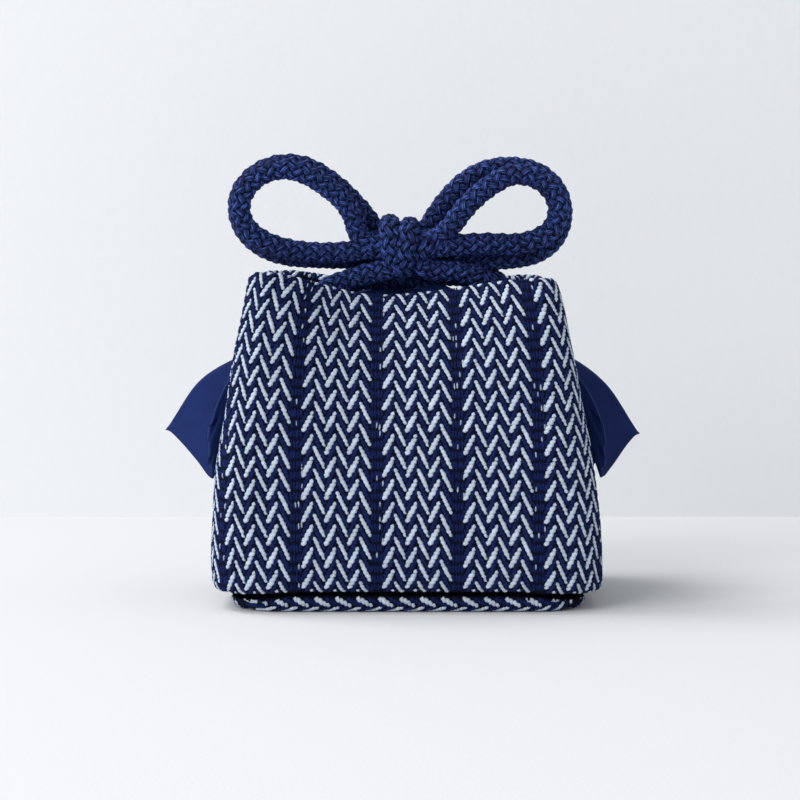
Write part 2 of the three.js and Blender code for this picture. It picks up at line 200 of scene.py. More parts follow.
# %% [markdown]
# ## Helpers for meshes
#
# Cloth and lumps are made from lists of points and faces. Counting triangles after each piece
# shows early when one of them becomes too heavy.

# %% Mesh helpers
def mesh_object(name, vertices, edges=(), faces=(), smooth=True):
    """A mesh object from lists of points and faces."""
    mesh = bpy.data.meshes.new(name)
    mesh.from_pydata([tuple(p) for p in vertices], list(edges), list(faces))
    if smooth and len(mesh.polygons):
        mesh.shade_smooth()
    obj = bpy.data.objects.new(name, mesh)
    bpy.context.collection.objects.link(obj)
    return obj


def triangles(obj):
    """How many triangles a mesh object has."""
    obj.data.calc_loop_triangles()
    return len(obj.data.loop_triangles)


print("CAD model:", sum(triangles(o) for o in bpy.data.objects if o.type == "MESH"), "triangles")

# %% [markdown]
# ## Colours
#
# Colours are written as they look on a screen, and turned into the linear values that the shaders
# work with.

# %% Colours
def screen_colour(red, green, blue):
    """A colour given as it looks on a screen, 0 to 255, as the linear RGBA that shaders take."""
    def linear(c):
        c /= 255
        return c / 12.92 if c <= 0.04045 else ((c + 0.055) / 1.055) ** 2.4
    return (linear(red), linear(green), linear(blue), 1.0)


CORD_NAVY = screen_colour(78, 108, 202)
CORD_SHADE = screen_colour(8, 13, 48)
CLOTH_NAVY = screen_colour(23, 43, 100)
CLOTH_NAVY_SHADE = screen_colour(14, 25, 66)
YARN_WHITE = screen_colour(226, 240, 254)
YARN_WHITE_SHADE = screen_colour(198, 216, 238)
YARN_NAVY = screen_colour(29, 47, 112)
YARN_NAVY_SHADE = screen_colour(7, 12, 42)
# The ground under the raised yarns: navy of the cloth, darkened nearly to black as painted shade of
# the gaps between the yarns.
GROUND_NAVY_WITH_GAP_SHADE = screen_colour(4, 9, 34)
GROUND_SHADE = screen_colour(6, 8, 20)
LINING_PALE = screen_colour(190, 212, 236)
LINING_SHADE = screen_colour(168, 192, 222)
print("indigo yarn, linear:", [round(c, 4) for c in YARN_NAVY[:3]])

# %% [markdown]
# ## Fibre and weave groups
#
# Every material here is yarn, so they share a few effects, each a group of nodes that is built
# once. `fibres` mixes a colour with a darker one in small soft patches and gives a fine fuzz for
# the bump. `plain weave` is the over and under grid of thin cotton cloth. `yarn threads` are the
# fine threads that lie side by side in a thick yarn, with a tone that differs from one lump of it
# to the next and painted shade between the threads.

# %% Shared shader groups
def fibres_group():
    """Colour patches and a fine fuzz. Scale is the number of fuzz bumps in a metre."""
    tree, given, result = new_tree("fibres", "ShaderNodeTree", {
        "Colour": ("NodeSocketColor", (0.5, 0.5, 0.5, 1)),
        "Shade": ("NodeSocketColor", (0.1, 0.1, 0.1, 1)),
        "Fuzz Scale": ("NodeSocketFloat", 3000.0),
        "Patch Scale": ("NodeSocketFloat", 300.0),
        "Amount": ("NodeSocketFloat", 0.5),
    }, {"Colour": ("NodeSocketColor", None), "Height": ("NodeSocketFloat", None)})
    place = add_node(tree, "ShaderNodeTexCoord").outputs["Object"]
    fuzz = add_node(tree, "ShaderNodeTexNoise", {
        "Vector": place, "Scale": given["Fuzz Scale"], "Detail": 3.0, "Roughness": 0.65})
    patch = add_node(tree, "ShaderNodeTexNoise", {
        "Vector": place, "Scale": given["Patch Scale"], "Detail": 2.0})
    both = calc(tree, "ADD", calc(tree, "MULTIPLY", fuzz.outputs["Fac"], 0.5),
                calc(tree, "MULTIPLY", patch.outputs["Fac"], 0.5))
    spread = add_node(tree, "ShaderNodeMapRange", {
        "Value": both, "From Min": 0.35, "From Max": 0.65,
        "To Min": 0.0, "To Max": given["Amount"]})
    tree.links.new(mix_colour(tree, spread.outputs["Result"], given["Colour"], given["Shade"]),
                   result["Colour"])
    tree.links.new(fuzz.outputs["Fac"], result["Height"])
    return tree


def attribute(tree, name):
    """A number stored on a piece's mesh, in a material."""
    return add_node(tree, "ShaderNodeAttribute", attribute_name=name).outputs["Fac"]


def plain_weave_group():
    """Height of thin cotton's threads, over and under by turns. Threads: how many per UV unit."""
    tree, given, result = new_tree("plain weave", "ShaderNodeTree", {
        "Threads": ("NodeSocketFloat", 480.0)}, {"Height": ("NodeSocketFloat", None)})
    uv = uv_parts(tree)
    turns = calc(tree, "MULTIPLY", given["Threads"], math.pi)
    waves = [calc(tree, "SINE", calc(tree, "MULTIPLY", uv[k], turns)) for k in (0, 1)]
    tree.links.new(calc(tree, "MULTIPLY", calc(tree, "MULTIPLY", *waves), 0.5), result["Height"])
    return tree


def yarn_threads_group():
    """Height of the threads across a lump of yarn, and its random tone with painted shade between
    them.
    """
    tree, given, result = new_tree("yarn threads", "ShaderNodeTree", {
        "Threads": ("NodeSocketFloat", 3.0)},
        {"Height": ("NodeSocketFloat", None), "Tone": ("NodeSocketFloat", None)})
    across = calc(tree, "MULTIPLY", attribute(tree, "across"), given["Threads"])
    wave = calc(tree, "COSINE", calc(tree, "MULTIPLY", across, 2 * math.pi))
    height = calc(tree, "MULTIPLY_ADD", wave, 0.5, 0.5)
    # a random tone for each lump, times painted shade that darkens the grooves between threads
    lump = calc(tree, "MULTIPLY_ADD", attribute(tree, "tone"), 0.10, 0.98)
    tone = calc(tree, "MULTIPLY", lump, calc(tree, "MULTIPLY_ADD", height, 0.3, 0.85))
    tree.links.new(height, result["Height"])
    tree.links.new(tone, result["Tone"])
    return tree


FIBRES, PLAIN_WEAVE, YARN_THREADS = fibres_group(), plain_weave_group(), yarn_threads_group()
print("shader groups:", [g.name for g in bpy.data.node_groups])

# %% [markdown]
# ## Materials
#
# Cotton is matt. Most of its light comes back evenly, and a soft sheen shows where its fibres
# stand on edge, so each material is a Principled BSDF with a high roughness and a little sheen.
# Those two are plain numbers on the shader itself. Only the colour and the bump change over the
# surface, and the colour carries painted shade between yarns. The cord's own yarns lie along its
# strands, so their pattern is read from the strands' UV map.

# %% Cotton material
def bumpy(tree, shader, height, strength, distance):
    """Bends a shader's normals by a height."""
    bumps = add_node(tree, "ShaderNodeBump", {
        "Height": height, "Strength": strength, "Distance": distance})
    tree.links.new(bumps.outputs["Normal"], shader.inputs["Normal"])


def cotton(name, colour, shade, fuzz=3500.0, patches=260.0, amount=0.7, roughness=0.85, sheen=0.2,
           bump=0.35, relief=None, tone=None):
    """Matt cotton. relief and tone are functions that add a height and a tone to its tree; the
    tone, which carries painted shade, darkens the colour.
    """
    material = bpy.data.materials.new(name)
    material.use_nodes = True
    tree = material.node_tree
    shader = tree.nodes["Principled BSDF"]
    shader.inputs["Roughness"].default_value = roughness
    shader.inputs["Sheen Weight"].default_value = sheen
    shader.inputs["Sheen Roughness"].default_value = 0.5
    shader.inputs["Specular IOR Level"].default_value = 0.12
    grain = add_node(tree, "ShaderNodeGroup", node_tree=FIBRES)
    for key, value in {"Colour": colour, "Shade": shade, "Fuzz Scale": fuzz,
                       "Patch Scale": patches, "Amount": amount}.items():
        grain.inputs[key].default_value = value
    seen = grain.outputs["Colour"]
    height = grain.outputs["Height"]
    if relief is not None:
        height = calc(tree, "MULTIPLY_ADD", height, 0.35, relief(tree))
    if tone is not None:
        # the tone multiplies the colour: painted shade between yarns, and a random tone
        seen = mix_colour(tree, 1.0, seen, tone(tree), blend="MULTIPLY")
    tree.links.new(seen, shader.inputs["Base Color"])
    bumpy(tree, shader, height, bump, 0.2 * MM)
    return material


def effect(group, output):
    """A function that places a group of shared nodes in a tree and gives one of its outputs."""
    return lambda tree: add_node(tree, "ShaderNodeGroup", node_tree=group).outputs[output]


def yarn_wave(tree, count=8.0, turns=300.0):
    """0 to 1 across each of the yarns that lie side by side in a strand and slowly twist."""
    uv = uv_parts(tree)
    across = calc(tree, "MULTIPLY", uv[0], count)
    along = calc(tree, "MULTIPLY", uv[1], turns)
    wave = calc(tree, "SINE", calc(tree, "MULTIPLY", calc(tree, "ADD", across, along), 2 * math.pi))
    return calc(tree, "MULTIPLY_ADD", wave, 0.5, 0.5)


def strand_painted_shade(tree):
    """Painted shade: darker between the yarns, and where a strand dives under its neighbours."""
    yarns = calc(tree, "MULTIPLY_ADD", yarn_wave(tree), 1.0, 0.25)
    lift = calc(tree, "MULTIPLY_ADD", attribute(tree, "lift"), 0.75, 0.32)
    return calc(tree, "MULTIPLY", yarns, lift)


# The cord's colour carries painted shade between its yarns and where its strands dive under.
cord_navy = cotton("cord_navy", CORD_NAVY, CORD_SHADE, roughness=0.62, sheen=0.0, bump=1.0,
                   relief=yarn_wave, tone=strand_painted_shade)
print("material:", cord_navy.name)

# %% [markdown]
# ## Smooth curves
#
# A cord or the edge of a cloth is given as a few points, and a smooth curve through them gives it
# its sweep. The curve passes through every point, and uneven spacing doesn't make it overshoot.

# %% Curve helpers
def curve_at(points, t):
    """Points of a smooth curve through points, at t from 0 to 1, the same share for each span."""
    p = np.array(points, float)
    p = np.vstack([2 * p[0] - p[1], p, 2 * p[-1] - p[-2]])
    place = np.clip(np.asarray(t, float), 0, 1) * (len(p) - 3)
    i = np.minimum(place.astype(int), len(p) - 4)
    t = (place - i)[:, None]
    s = 1 - t
    a, b, c, d = (p[i + k] for k in range(4))
    before, span, after = (np.sqrt(np.linalg.norm(q - r, axis=1))[:, None]
                           for q, r in ((b, a), (c, b), (d, c)))
    leave = ((b - a) / before - (c - a) / (before + span) + (c - b) / span) * span
    arrive = ((c - b) / span - (d - b) / (span + after) + (d - c) / after) * span
    return ((1 + 2 * t) * s * s * b + t * s * s * leave
            + t * t * (3 - 2 * t) * c - t * t * s * arrive)


def smooth_route(points, steps=10):
    """A fine line of points on the curve through a route, in metres."""
    return curve_at(points, np.linspace(0, 1, (len(points) - 1) * steps + 1)) * MM


def length_of(points):
    """Length of a line of points."""
    return float(np.linalg.norm(np.diff(points, axis=0), axis=1).sum())


print("a quarter turn through three points:",
      round(length_of(curve_at([(1, 0), (0.707, 0.707), (0, 1)], np.linspace(0, 1, 20))), 3))

# %% [markdown]
# ## Routes of the cord
#
# A cord is first of all a line of a fixed length. These routes are the middle lines of the bow:
# each loop is doubled, so there are two front and two back runs, and four leads go down from the
# knot to the collar. The inner ends go on into the knot, where its wraps hide them.

# %% Cord routes
CORD = 6.2 * MM

ROUTES = {  # millimetres
    "loop_left_front": [
        (-2.2, -9.4, 106.8), (-7.4, -11.4, 106.4), (-12.4, -12.0, 107.0), (-14.9, -12.2, 109.8),
        (-16.2, -12.6, 114.2), (-19.2, -12.7, 118.9), (-23.6, -12.8, 122.7), (-29.8, -13.0, 126.6),
        (-36.8, -13.0, 128.3), (-44.2, -12.8, 126.1),
        (-49.0, -12.4, 120.5), (-49.6, -12.0, 114.9), (-47.4, -11.8, 110.5), (-42.4, -11.6, 106.8),
        (-35.4, -11.4, 104.5), (-27.0, -11.4, 103.5), (-19.2, -11.4, 103.7), (-13.0, -11.4, 104.5),
        (-8.9, -11.4, 104.7), (-2.2, -9.6, 105.2),
    ],
    "loop_left_back": [
        (-2.6, -6.6, 108.0), (-9.4, -4.8, 110.1), (-13.4, -4.8, 115.3), (-22.0, -5.6, 123.9),
        (-31.0, -6.4, 129.1), (-38.6, -6.6, 129.5), (-45.6, -6.4, 126.5), (-50.0, -6.0, 120.9),
        (-50.4, -5.6, 114.5), (-48.0, -5.2, 109.3), (-42.6, -5.0, 104.9), (-35.6, -4.8, 102.7),
        (-27.0, -4.8, 102.1), (-19.2, -4.8, 101.9), (-13.0, -4.8, 102.3), (-8.9, -4.8, 103.2),
        (-2.2, -6.4, 105.0),
    ],
    "loop_right_front": [
        (-2.4, -9.4, 107.3), (3.8, -11.4, 107.0), (8.8, -12.2, 107.8), (12.6, -13.0, 111.2),
        (15.6, -13.4, 115.2), (19.2, -13.6, 119.2), (24.4, -13.6, 123.4), (30.8, -13.6, 126.5),
        (37.8, -13.6, 125.5), (42.6, -13.2, 121.5), (44.4, -12.8, 116.3), (42.6, -12.4, 110.7),
        (37.9, -12.0, 107.5), (31.6, -11.8, 106.1), (23.8, -11.6, 106.3), (14.6, -11.4, 105.9),
        (8.0, -11.4, 105.1), (3.8, -11.4, 104.7), (-2.4, -9.6, 105.0),
    ],
    "loop_right_back": [
        (-2.4, -6.6, 108.4), (5.0, -4.8, 109.8), (7.4, -5.0, 113.3), (11.2, -5.4, 118.7),
        (16.4, -6.0, 124.1), (22.6, -6.4, 127.7), (30.8, -6.6, 128.9), (38.8, -6.6, 127.0),
        (43.8, -6.4, 122.5), (45.8, -6.0, 117.1), (45.4, -5.6, 111.5), (42.8, -5.2, 106.7),
        (38.2, -5.0, 103.5), (31.0, -4.8, 101.9), (23.4, -4.8, 101.7), (14.6, -4.8, 102.6),
        (8.0, -4.8, 103.8), (4.3, -4.8, 104.5), (-2.4, -6.4, 105.0),
    ],
    "lead_left_front": [
        (-28.6, -8.0, 87.2), (-23.4, -9.4, 93.0), (-17.6, -10.4, 95.6), (-12.0, -11.2, 97.3),
        (-5.4, -12.0, 99.0), (-1.8, -11.6, 101.6), (-2.4, -9.6, 105.2), (-4.4, -8.4, 107.8),
    ],
    "lead_left_back": [
        (-28.8, -1.2, 86.5), (-23.6, -2.0, 93.1), (-17.6, -2.6, 95.2), (-12.0, -3.0, 95.7),
        (-5.4, -3.4, 95.6), (-1.6, -4.4, 97.4), (-2.0, -5.6, 103.6), (-4.0, -6.4, 107.2),
    ],
    "lead_right_front": [
        (27.6, -8.0, 88.0), (22.0, -9.2, 95.7), (14.6, -10.0, 97.9), (8.0, -10.8, 98.5),
        (4.4, -12.0, 99.6), (3.4, -13.4, 102.6), (4.4, -13.4, 105.8), (3.2, -11.0, 108.2),
    ],
    "lead_right_back": [
        (31.0, -1.2, 88.4), (26.6, -2.0, 95.0), (18.0, -2.6, 96.4), (10.0, -3.0, 96.7),
        (2.6, -3.4, 95.6), (-1.0, -4.6, 97.6), (-0.8, -6.4, 103.4), (-2.4, -7.4, 107.0),
    ],
}

paths = {name: smooth_route(route) for name, route in ROUTES.items()}
for name, path in paths.items():
    print(f"{name}: {length_of(path) / MM:.0f} mm")

# %% [markdown]
# ## The braid
#
# The cord is a round braid of twelve strands: six wind to the left, six to the right, and each
# goes over one and under the next. One could push a pattern into a tube with bump, but the
# scalloped edge of a real braid would be missing. Here Geometry Nodes copies the route once for
# each strand, winds each copy round it and lets it rise and sink in step with the crossings.

# %% Braid tree
def braid_tree():
    """Geometry Nodes tree: a line becomes a round braid."""
    tree, given, result = new_tree("braided cord", "GeometryNodeTree", {
        "Route": ("NodeSocketGeometry", None),
        "Diameter": ("NodeSocketFloat", CORD),
        "Lay": ("NodeSocketFloat", 25.0 * MM),
        "Strands": ("NodeSocketInt", 12),
        "Strand Width": ("NodeSocketFloat", 2.5 * MM),
        "Strand Thickness": ("NodeSocketFloat", 1.9 * MM),
        "Rise": ("NodeSocketFloat", 0.26 * MM),
        "Step": ("NodeSocketFloat", 0.8 * MM),
        "Sides": ("NodeSocketInt", 8),
        "Material": ("NodeSocketMaterial", None),
    }, {"Cord": ("NodeSocketGeometry", None)})
    line = add_node(tree, "GeometryNodeMeshToCurve", {"Mesh": given["Route"]}).outputs[0]
    line = add_node(tree, "GeometryNodeResampleCurve", {
        "Curve": line, "Length": given["Step"]}, mode="LENGTH").outputs[0]
    copies = add_node(tree, "GeometryNodeDuplicateElements", {
        "Geometry": line, "Amount": given["Strands"]}, domain="SPLINE")
    number = copies.outputs["Duplicate Index"]

    # even strands wind one way and odd ones the other
    odd = calc(tree, "MODULO", number, 2.0)
    way = calc(tree, "MULTIPLY_ADD", odd, -2.0, 1.0)
    half = calc(tree, "DIVIDE", given["Strands"], 2.0)
    place = calc(tree, "MULTIPLY_ADD", odd, 0.5,
                 calc(tree, "FLOOR", calc(tree, "DIVIDE", number, 2.0)))
    start = calc(tree, "DIVIDE", calc(tree, "MULTIPLY", place, 2 * math.pi), half)
    along = add_node(tree, "GeometryNodeSplineParameter").outputs["Length"]
    turned = calc(tree, "MULTIPLY", calc(tree, "DIVIDE", along, given["Lay"]), 2 * math.pi)
    angle = calc(tree, "MULTIPLY_ADD", turned, way, start)
    lift = calc(tree, "MULTIPLY", calc(tree, "SINE", calc(tree, "MULTIPLY", turned, half)), way)
    middle = calc(tree, "SUBTRACT", calc(tree, "DIVIDE", given["Diameter"], 2.0),
                  calc(tree, "MULTIPLY_ADD", given["Strand Thickness"], 0.5, given["Rise"]))
    radius = calc(tree, "MULTIPLY_ADD", lift, given["Rise"], middle)

    normal = add_node(tree, "GeometryNodeInputNormal").outputs["Normal"]
    tangent = add_node(tree, "GeometryNodeInputTangent").outputs["Tangent"]
    sideways = vector_calc(tree, "CROSS_PRODUCT", tangent, normal)
    outward = vector_calc(tree, "ADD",
                          vector_calc(tree, "SCALE", normal, scale=calc(tree, "COSINE", angle)),
                          vector_calc(tree, "SCALE", sideways, scale=calc(tree, "SINE", angle)))
    strands = copies.outputs["Geometry"]
    strands = store(tree, strands, "outward", outward, data_type="FLOAT_VECTOR")
    strands = store(tree, store(tree, strands, "along", along), "lift", lift)
    outward = named(tree, "outward", data_type="FLOAT_VECTOR")
    strands = add_node(tree, "GeometryNodeSetPosition", {
        "Geometry": strands,
        "Offset": vector_calc(tree, "SCALE", outward, scale=radius)}).outputs[0]
    strands = add_node(tree, "GeometryNodeSetCurveNormal", {
        "Curve": strands, "Normal": outward}, mode="FREE").outputs[0]

    # the strand's section is an ellipse that lies flat on the cord
    section = add_node(tree, "GeometryNodeCurvePrimitiveCircle", {
        "Resolution": given["Sides"], "Radius": 0.5}, mode="RADIUS").outputs["Curve"]
    section = store(tree, section, "across",
                    add_node(tree, "GeometryNodeSplineParameter").outputs["Factor"])
    size = add_node(tree, "ShaderNodeCombineXYZ", {
        0: given["Strand Width"], 1: given["Strand Thickness"], 2: 1.0}).outputs[0]
    section = add_node(tree, "GeometryNodeTransform", {
        "Geometry": section, "Scale": size}).outputs[0]
    tube = add_node(tree, "GeometryNodeCurveToMesh", {
        "Curve": strands, "Profile Curve": section, "Fill Caps": True}).outputs[0]
    uv = add_node(tree, "ShaderNodeCombineXYZ", {
        0: named(tree, "across"), 1: named(tree, "along")}).outputs[0]
    tube = store(tree, tube, "UVMap", uv, data_type="FLOAT2", domain="CORNER")
    tree.links.new(finished(tree, tube, given["Material"]), result["Cord"])
    return tree


BRAID = braid_tree()
print("inputs of the braid:", [item.name for item in BRAID.interface.items_tree])

# %% [markdown]
# ## Braiding the bow
#
# Each route becomes a bare line of edges, and the tree turns it into a cord. The four loops and
# the four leads are pieces of their own, because each has a length of its own.

# %% Braided cords
def braided(name, *lines):
    """A piece of braided cord along one or more lines of points."""
    edges, first = [], 0
    for line in lines:
        edges += [(first + i, first + i + 1) for i in range(len(line) - 1)]
        first += len(line)
    return run_tree(mesh_object(name + "_route", np.vstack(lines), edges=edges), BRAID, name,
                    material=cord_navy)


cords = {name: braided("cord_" + name, path) for name, path in paths.items()}
print("braided:", sum(triangles(cord) for cord in cords.values()), "triangles")

# %% [markdown]
# ## The knot
#
# The middle of the bow is the same doubled cord, wrapped once round both loops and pulled tight.
# It goes up the front, over the top and down the back, so it is two more runs of the braid, one
# beside the other.

# %% Knot wraps
WRAPS = {  # millimetres: the left and the right turn, from the front below to the back below
    "left": [
        (-3.2, -10.6, 99.4), (-4.2, -13.6, 101.4), (-5.0, -14.9, 105.2), (-5.4, -14.2, 109.4),
        (-5.5, -11.2, 111.5), (-5.4, -7.6, 111.9), (-5.2, -3.6, 110.9), (-5.0, -1.4, 107.9),
        (-4.6, -1.2, 104.0), (-3.8, -3.4, 100.6),
    ],
    "right": [
        (-1.2, -10.8, 98.6), (-1.0, -14.2, 100.4), (-0.6, -15.9, 104.2), (0.1, -15.0, 108.6),
        (0.5, -11.8, 110.7), (0.5, -7.8, 111.1), (0.5, -3.6, 110.2), (0.4, -1.2, 107.4),
        (0.0, -1.0, 103.6), (-0.6, -3.2, 100.2),
    ],
}
knot = braided("knot_wraps", *(smooth_route(route) for route in WRAPS.values()))
print("knot:", triangles(knot), "triangles")

# %% [markdown]
# ## The body's surface
#
# Both panels, the lining and the collar follow one surface. It is a rounded box that narrows
# upwards, with a soft trough down each panel where the cord draws the mouth in. These are the
# numbers of the CAD model, in millimetres, so that the cloth made here lies where its CAD solid
# does. A place on a panel is given by f, from -1 at the left side seam to 1 at the right one, and
# v, the height along the cloth.

# %% Body surface
WALL_CLOTH = 96.5  # cloth from the base seam up to the top edge, at the corners
SIDE_DIP = 35  # how much lower the top edge lies at the side seams
WALL_BASE = 5.3  # height of the base seam
CORNER_SAG = 1.7  # the cloth hangs lower where it goes round the bottom corners
RIGHT_SLUMP = 1.6  # how much lower the right top corner has sunk
FLAT_END, CORNER_END = 0.52, 0.72  # where a panel's flat part and its round corner end
SIDE_SPREAD = 30  # how far the hollow of each side reaches from its seam
SAG_START, SAG_WIDTH, SAG_HEIGHT = 0.42, 0.3, 26  # where the sag sets in, and how far it reaches up
DIP_START = 0.66  # where the top edge starts to dip towards the seam

# each column is a smooth curve over the cloth's height v
LEVELS = {
    "v": [0.0, 3.0, 8.0, 16.0, 30.0, 44.0, 58.0, 70.0, 80.0, 88.0, 93.5, 96.5],
    "z": [0.0, 2.2, 6.9, 14.9, 28.8, 42.7, 56.5, 68.3, 78.1, 85.9, 91.2, 93.5],
    "width": [52.9, 56.7, 57.5, 57.7, 56.9, 55.2, 53.0, 51.0, 49.1, 47.6, 46.5, 45.3],
    "lean": [0.0, 0.1, 0.5, 0.9, 1.5, 1.9, 2.1, 2.3, 2.5, 2.8, 3.3, 3.6],
    "depth": [38.2, 39.9, 40.8, 41.0, 40.6, 39.8, 38.8, 37.8, 36.8, 36.0, 35.2, 34.2],
    "corner": [15.0, 15.0, 15.0, 14.0, 13.0, 12.0, 11.0, 10.0, 9.0, 8.5, 8.0, 8.0],
    "front": [0.0, 0.0, 0.0, 0.0, 0.4, 1.8, 4.6, 8.4, 12.2, 15.8, 18.6, 20.4],
    "back": [0.0, 0.0, 0.0, 0.0, 0.6, 2.4, 5.4, 9.2, 13.0, 16.6, 19.2, 21.0],
    "side": [0.0, 0.0, 0.0, 0.5, 1.2, 2.2, 3.4, 4.4, 5.0, 5.4, 5.4, 5.4],
    "drop": [0.0, 0.0, 0.0, 0.0, 0.0, 0.2, 0.6, 1.6, 3.0, 4.6, 5.9, 6.8],
}
TROUGHS = {"front": (-8, 35, 56), "back": (4, 44, 38)}  # its x, and its spread left and right
print("body:", 2 * max(LEVELS["width"]), "by", 2 * max(LEVELS["depth"]), "mm")

# %% [markdown]
# ## Smooth steps and humps
#
# Soft things have no sharp changes, so every dent, dip and bulge here is built from three smooth
# functions: a curve through a table's rows, a hump and a step.

# %% Smooth functions
def level_at(column, v):
    """A column of LEVELS at cloth height v, on a smooth curve through the rows."""
    knots, values = np.array(LEVELS["v"]), np.array(LEVELS[column])
    slopes = np.empty_like(values)
    slopes[1:-1] = (values[2:] - values[:-2]) / (knots[2:] - knots[:-2])
    slopes[0], slopes[-1] = (np.diff(values) / np.diff(knots))[[0, -1]]
    i = np.clip(np.searchsorted(knots, v) - 1, 0, len(knots) - 2)
    step = knots[i + 1] - knots[i]
    t = (v - knots[i]) / step
    s = 1 - t
    return ((1 + 2 * t) * s * s * values[i] + t * s * s * step * slopes[i]
            + t * t * (3 - 2 * t) * values[i + 1] - t * t * s * step * slopes[i + 1])


def hump(q):
    """A smooth hump: 1 at 0, and 0 from 1 on."""
    return np.where(np.abs(q) < 1, 0.5 * (1 + np.cos(np.pi * q)), 0.0)


def ease(t):
    """A smooth step from 0 at 0 to 1 at 1."""
    t = np.clip(t, 0, 1)
    return t * t * (3 - 2 * t)


print("half way up the step:", float(ease(0.5)), "and down the hump:", float(hump(0.5)))

# %% [markdown]
# ## Points on the wall
#
# Now every place on a panel has its point in space: across the flat part, round the corner and
# along the side, with the trough, the hollow of the side, the lean and the sag laid over it.
# Moving inwards along the normal gives room for thickness, lining and collar.

# %% Wall points
def wall_point(panel, f, v):
    """Points of the body's outer surface, in millimetres."""
    f, v = np.broadcast_arrays(np.asarray(f, float), np.asarray(v, float))
    w, d, r = (level_at(column, v) for column in ("width", "depth", "corner"))
    along, side = np.abs(f), np.where(f < 0, -1.0, 1.0)
    turn = np.clip((along - FLAT_END) / (CORNER_END - FLAT_END), 0, 1) * math.pi / 2
    x = np.where(along < FLAT_END, (w - r) * along / FLAT_END, w - r + r * np.sin(turn))
    depth = np.where(along < CORNER_END, d - r + r * np.cos(turn),
                     (d - r) * (1 - (along - CORNER_END) / (1 - CORNER_END)))
    middle, left, right = TROUGHS[panel]
    q = side * x - middle
    pull = hump(q / np.where(q < 0, left, right)) * ease(depth / d)
    x = x - level_at("side", v) * hump(depth / SIDE_SPREAD) * ease(x / w)
    x = x - np.where(f > 0, level_at("lean", v) * x / w, 0.0)
    depth = depth - level_at(panel, v) * pull
    slump = np.where(f > 0, RIGHT_SLUMP * ease(x / w) * ease(v / WALL_CLOTH), 0.0)
    sag = CORNER_SAG * ease((along - SAG_START) / SAG_WIDTH) * (1 - ease(v / SAG_HEIGHT))
    z = WALL_BASE + level_at("z", v) - level_at("drop", v) * pull - slump - sag
    return np.stack([side * x, depth * (-1 if panel == "front" else 1), z], axis=-1)


def unit(vectors):
    """Vectors made one long."""
    return vectors / np.linalg.norm(vectors, axis=-1, keepdims=True)


def inside_wall(panel, f, v, distance):
    """The surface moved inwards by a distance."""
    f, v, distance = np.broadcast_arrays(*(np.asarray(a, float) for a in (f, v, distance)))
    h = 0.01
    du = wall_point(panel, np.minimum(f + h, 1), v) - wall_point(panel, np.maximum(f - h, -1), v)
    dv = wall_point(panel, f, v + h) - wall_point(panel, f, v - h)
    normal = unit(np.cross(du, dv) * (1 if panel == "front" else -1))
    return wall_point(panel, f, v) - normal * distance[..., None]


def top_edge(f):
    """Cloth height of the top edge: level across the panel, dipping towards the side seams."""
    return WALL_CLOTH - SIDE_DIP * ease((np.abs(f) - DIP_START) / (1 - DIP_START))


print("top corner (mm):", wall_point("front", FLAT_END, top_edge(FLAT_END)).round(1))

# %% [markdown]
# ## From a surface to a chart and back
#
# The weave is planned on flat cloth, with u across and v up, both in millimetres. To find the
# place on the body that belongs to a place in the chart, the arc across the panel is measured at
# many heights and kept as a table. The same numbers become the UV map of the cloth.

# %% Chart tables
F_STEPS = np.linspace(-1, 1, 401)
V_STEPS = np.linspace(0, WALL_CLOTH, 98)
CHART = 200.0  # millimetres of flat cloth in one unit of UV


def arc_table(panel):
    """Arc length from the middle of a panel, a row for each height."""
    points = wall_point(panel, F_STEPS[None, :], V_STEPS[:, None])
    arcs = np.cumsum(np.linalg.norm(np.diff(points, axis=1), axis=2), axis=1)
    arcs = np.hstack([np.zeros((len(arcs), 1)), arcs])
    return arcs - arcs[:, [len(F_STEPS) // 2]]


ARCS = {panel: arc_table(panel) for panel in ("front", "back")}


def arc_rows(panel, v):
    """The table's rows at any heights."""
    place = np.clip(v, 0, WALL_CLOTH) / (V_STEPS[1] - V_STEPS[0])
    i = np.minimum(place.astype(int), len(V_STEPS) - 2)
    share = (place - i)[..., None]
    return ARCS[panel][i] * (1 - share) + ARCS[panel][i + 1] * share


def arc_at(panel, f, v):
    """Arc length across the panel at f and v, arrays of the same shape."""
    rows = arc_rows(panel, v)
    place = (f + 1) / (F_STEPS[1] - F_STEPS[0])
    i = np.clip(place.astype(int), 0, len(F_STEPS) - 2)
    low = np.take_along_axis(rows, i[..., None], -1)[..., 0]
    high = np.take_along_axis(rows, i[..., None] + 1, -1)[..., 0]
    return low + (high - low) * (place - i)


def f_at(panel, u, v):
    """The f that belongs to a place in the chart, lists of the same length."""
    rows = arc_rows(panel, v)
    i = np.clip((rows < u[:, None]).sum(axis=1) - 1, 0, len(F_STEPS) - 2)
    low, high = (np.take_along_axis(rows, (i + k)[:, None], 1)[:, 0] for k in (0, 1))
    return F_STEPS[i] + (u - low) / (high - low) * (F_STEPS[1] - F_STEPS[0])


for panel, table in ARCS.items():
    print(f"{panel} panel: {table[20, -1] - table[20, 0]:.0f} mm of cloth at 20 mm up,"
          f" {table[-1, -1] - table[-1, 0]:.0f} mm at the top")

# %% [markdown]
# ## Sheets with a thickness
#
# A sheet of cloth is two skins joined along their edges. The skins are grids of points, so both
# can follow the same surface at two distances. The joining faces get no room in the UV map,
# because the weave is later looked up there.

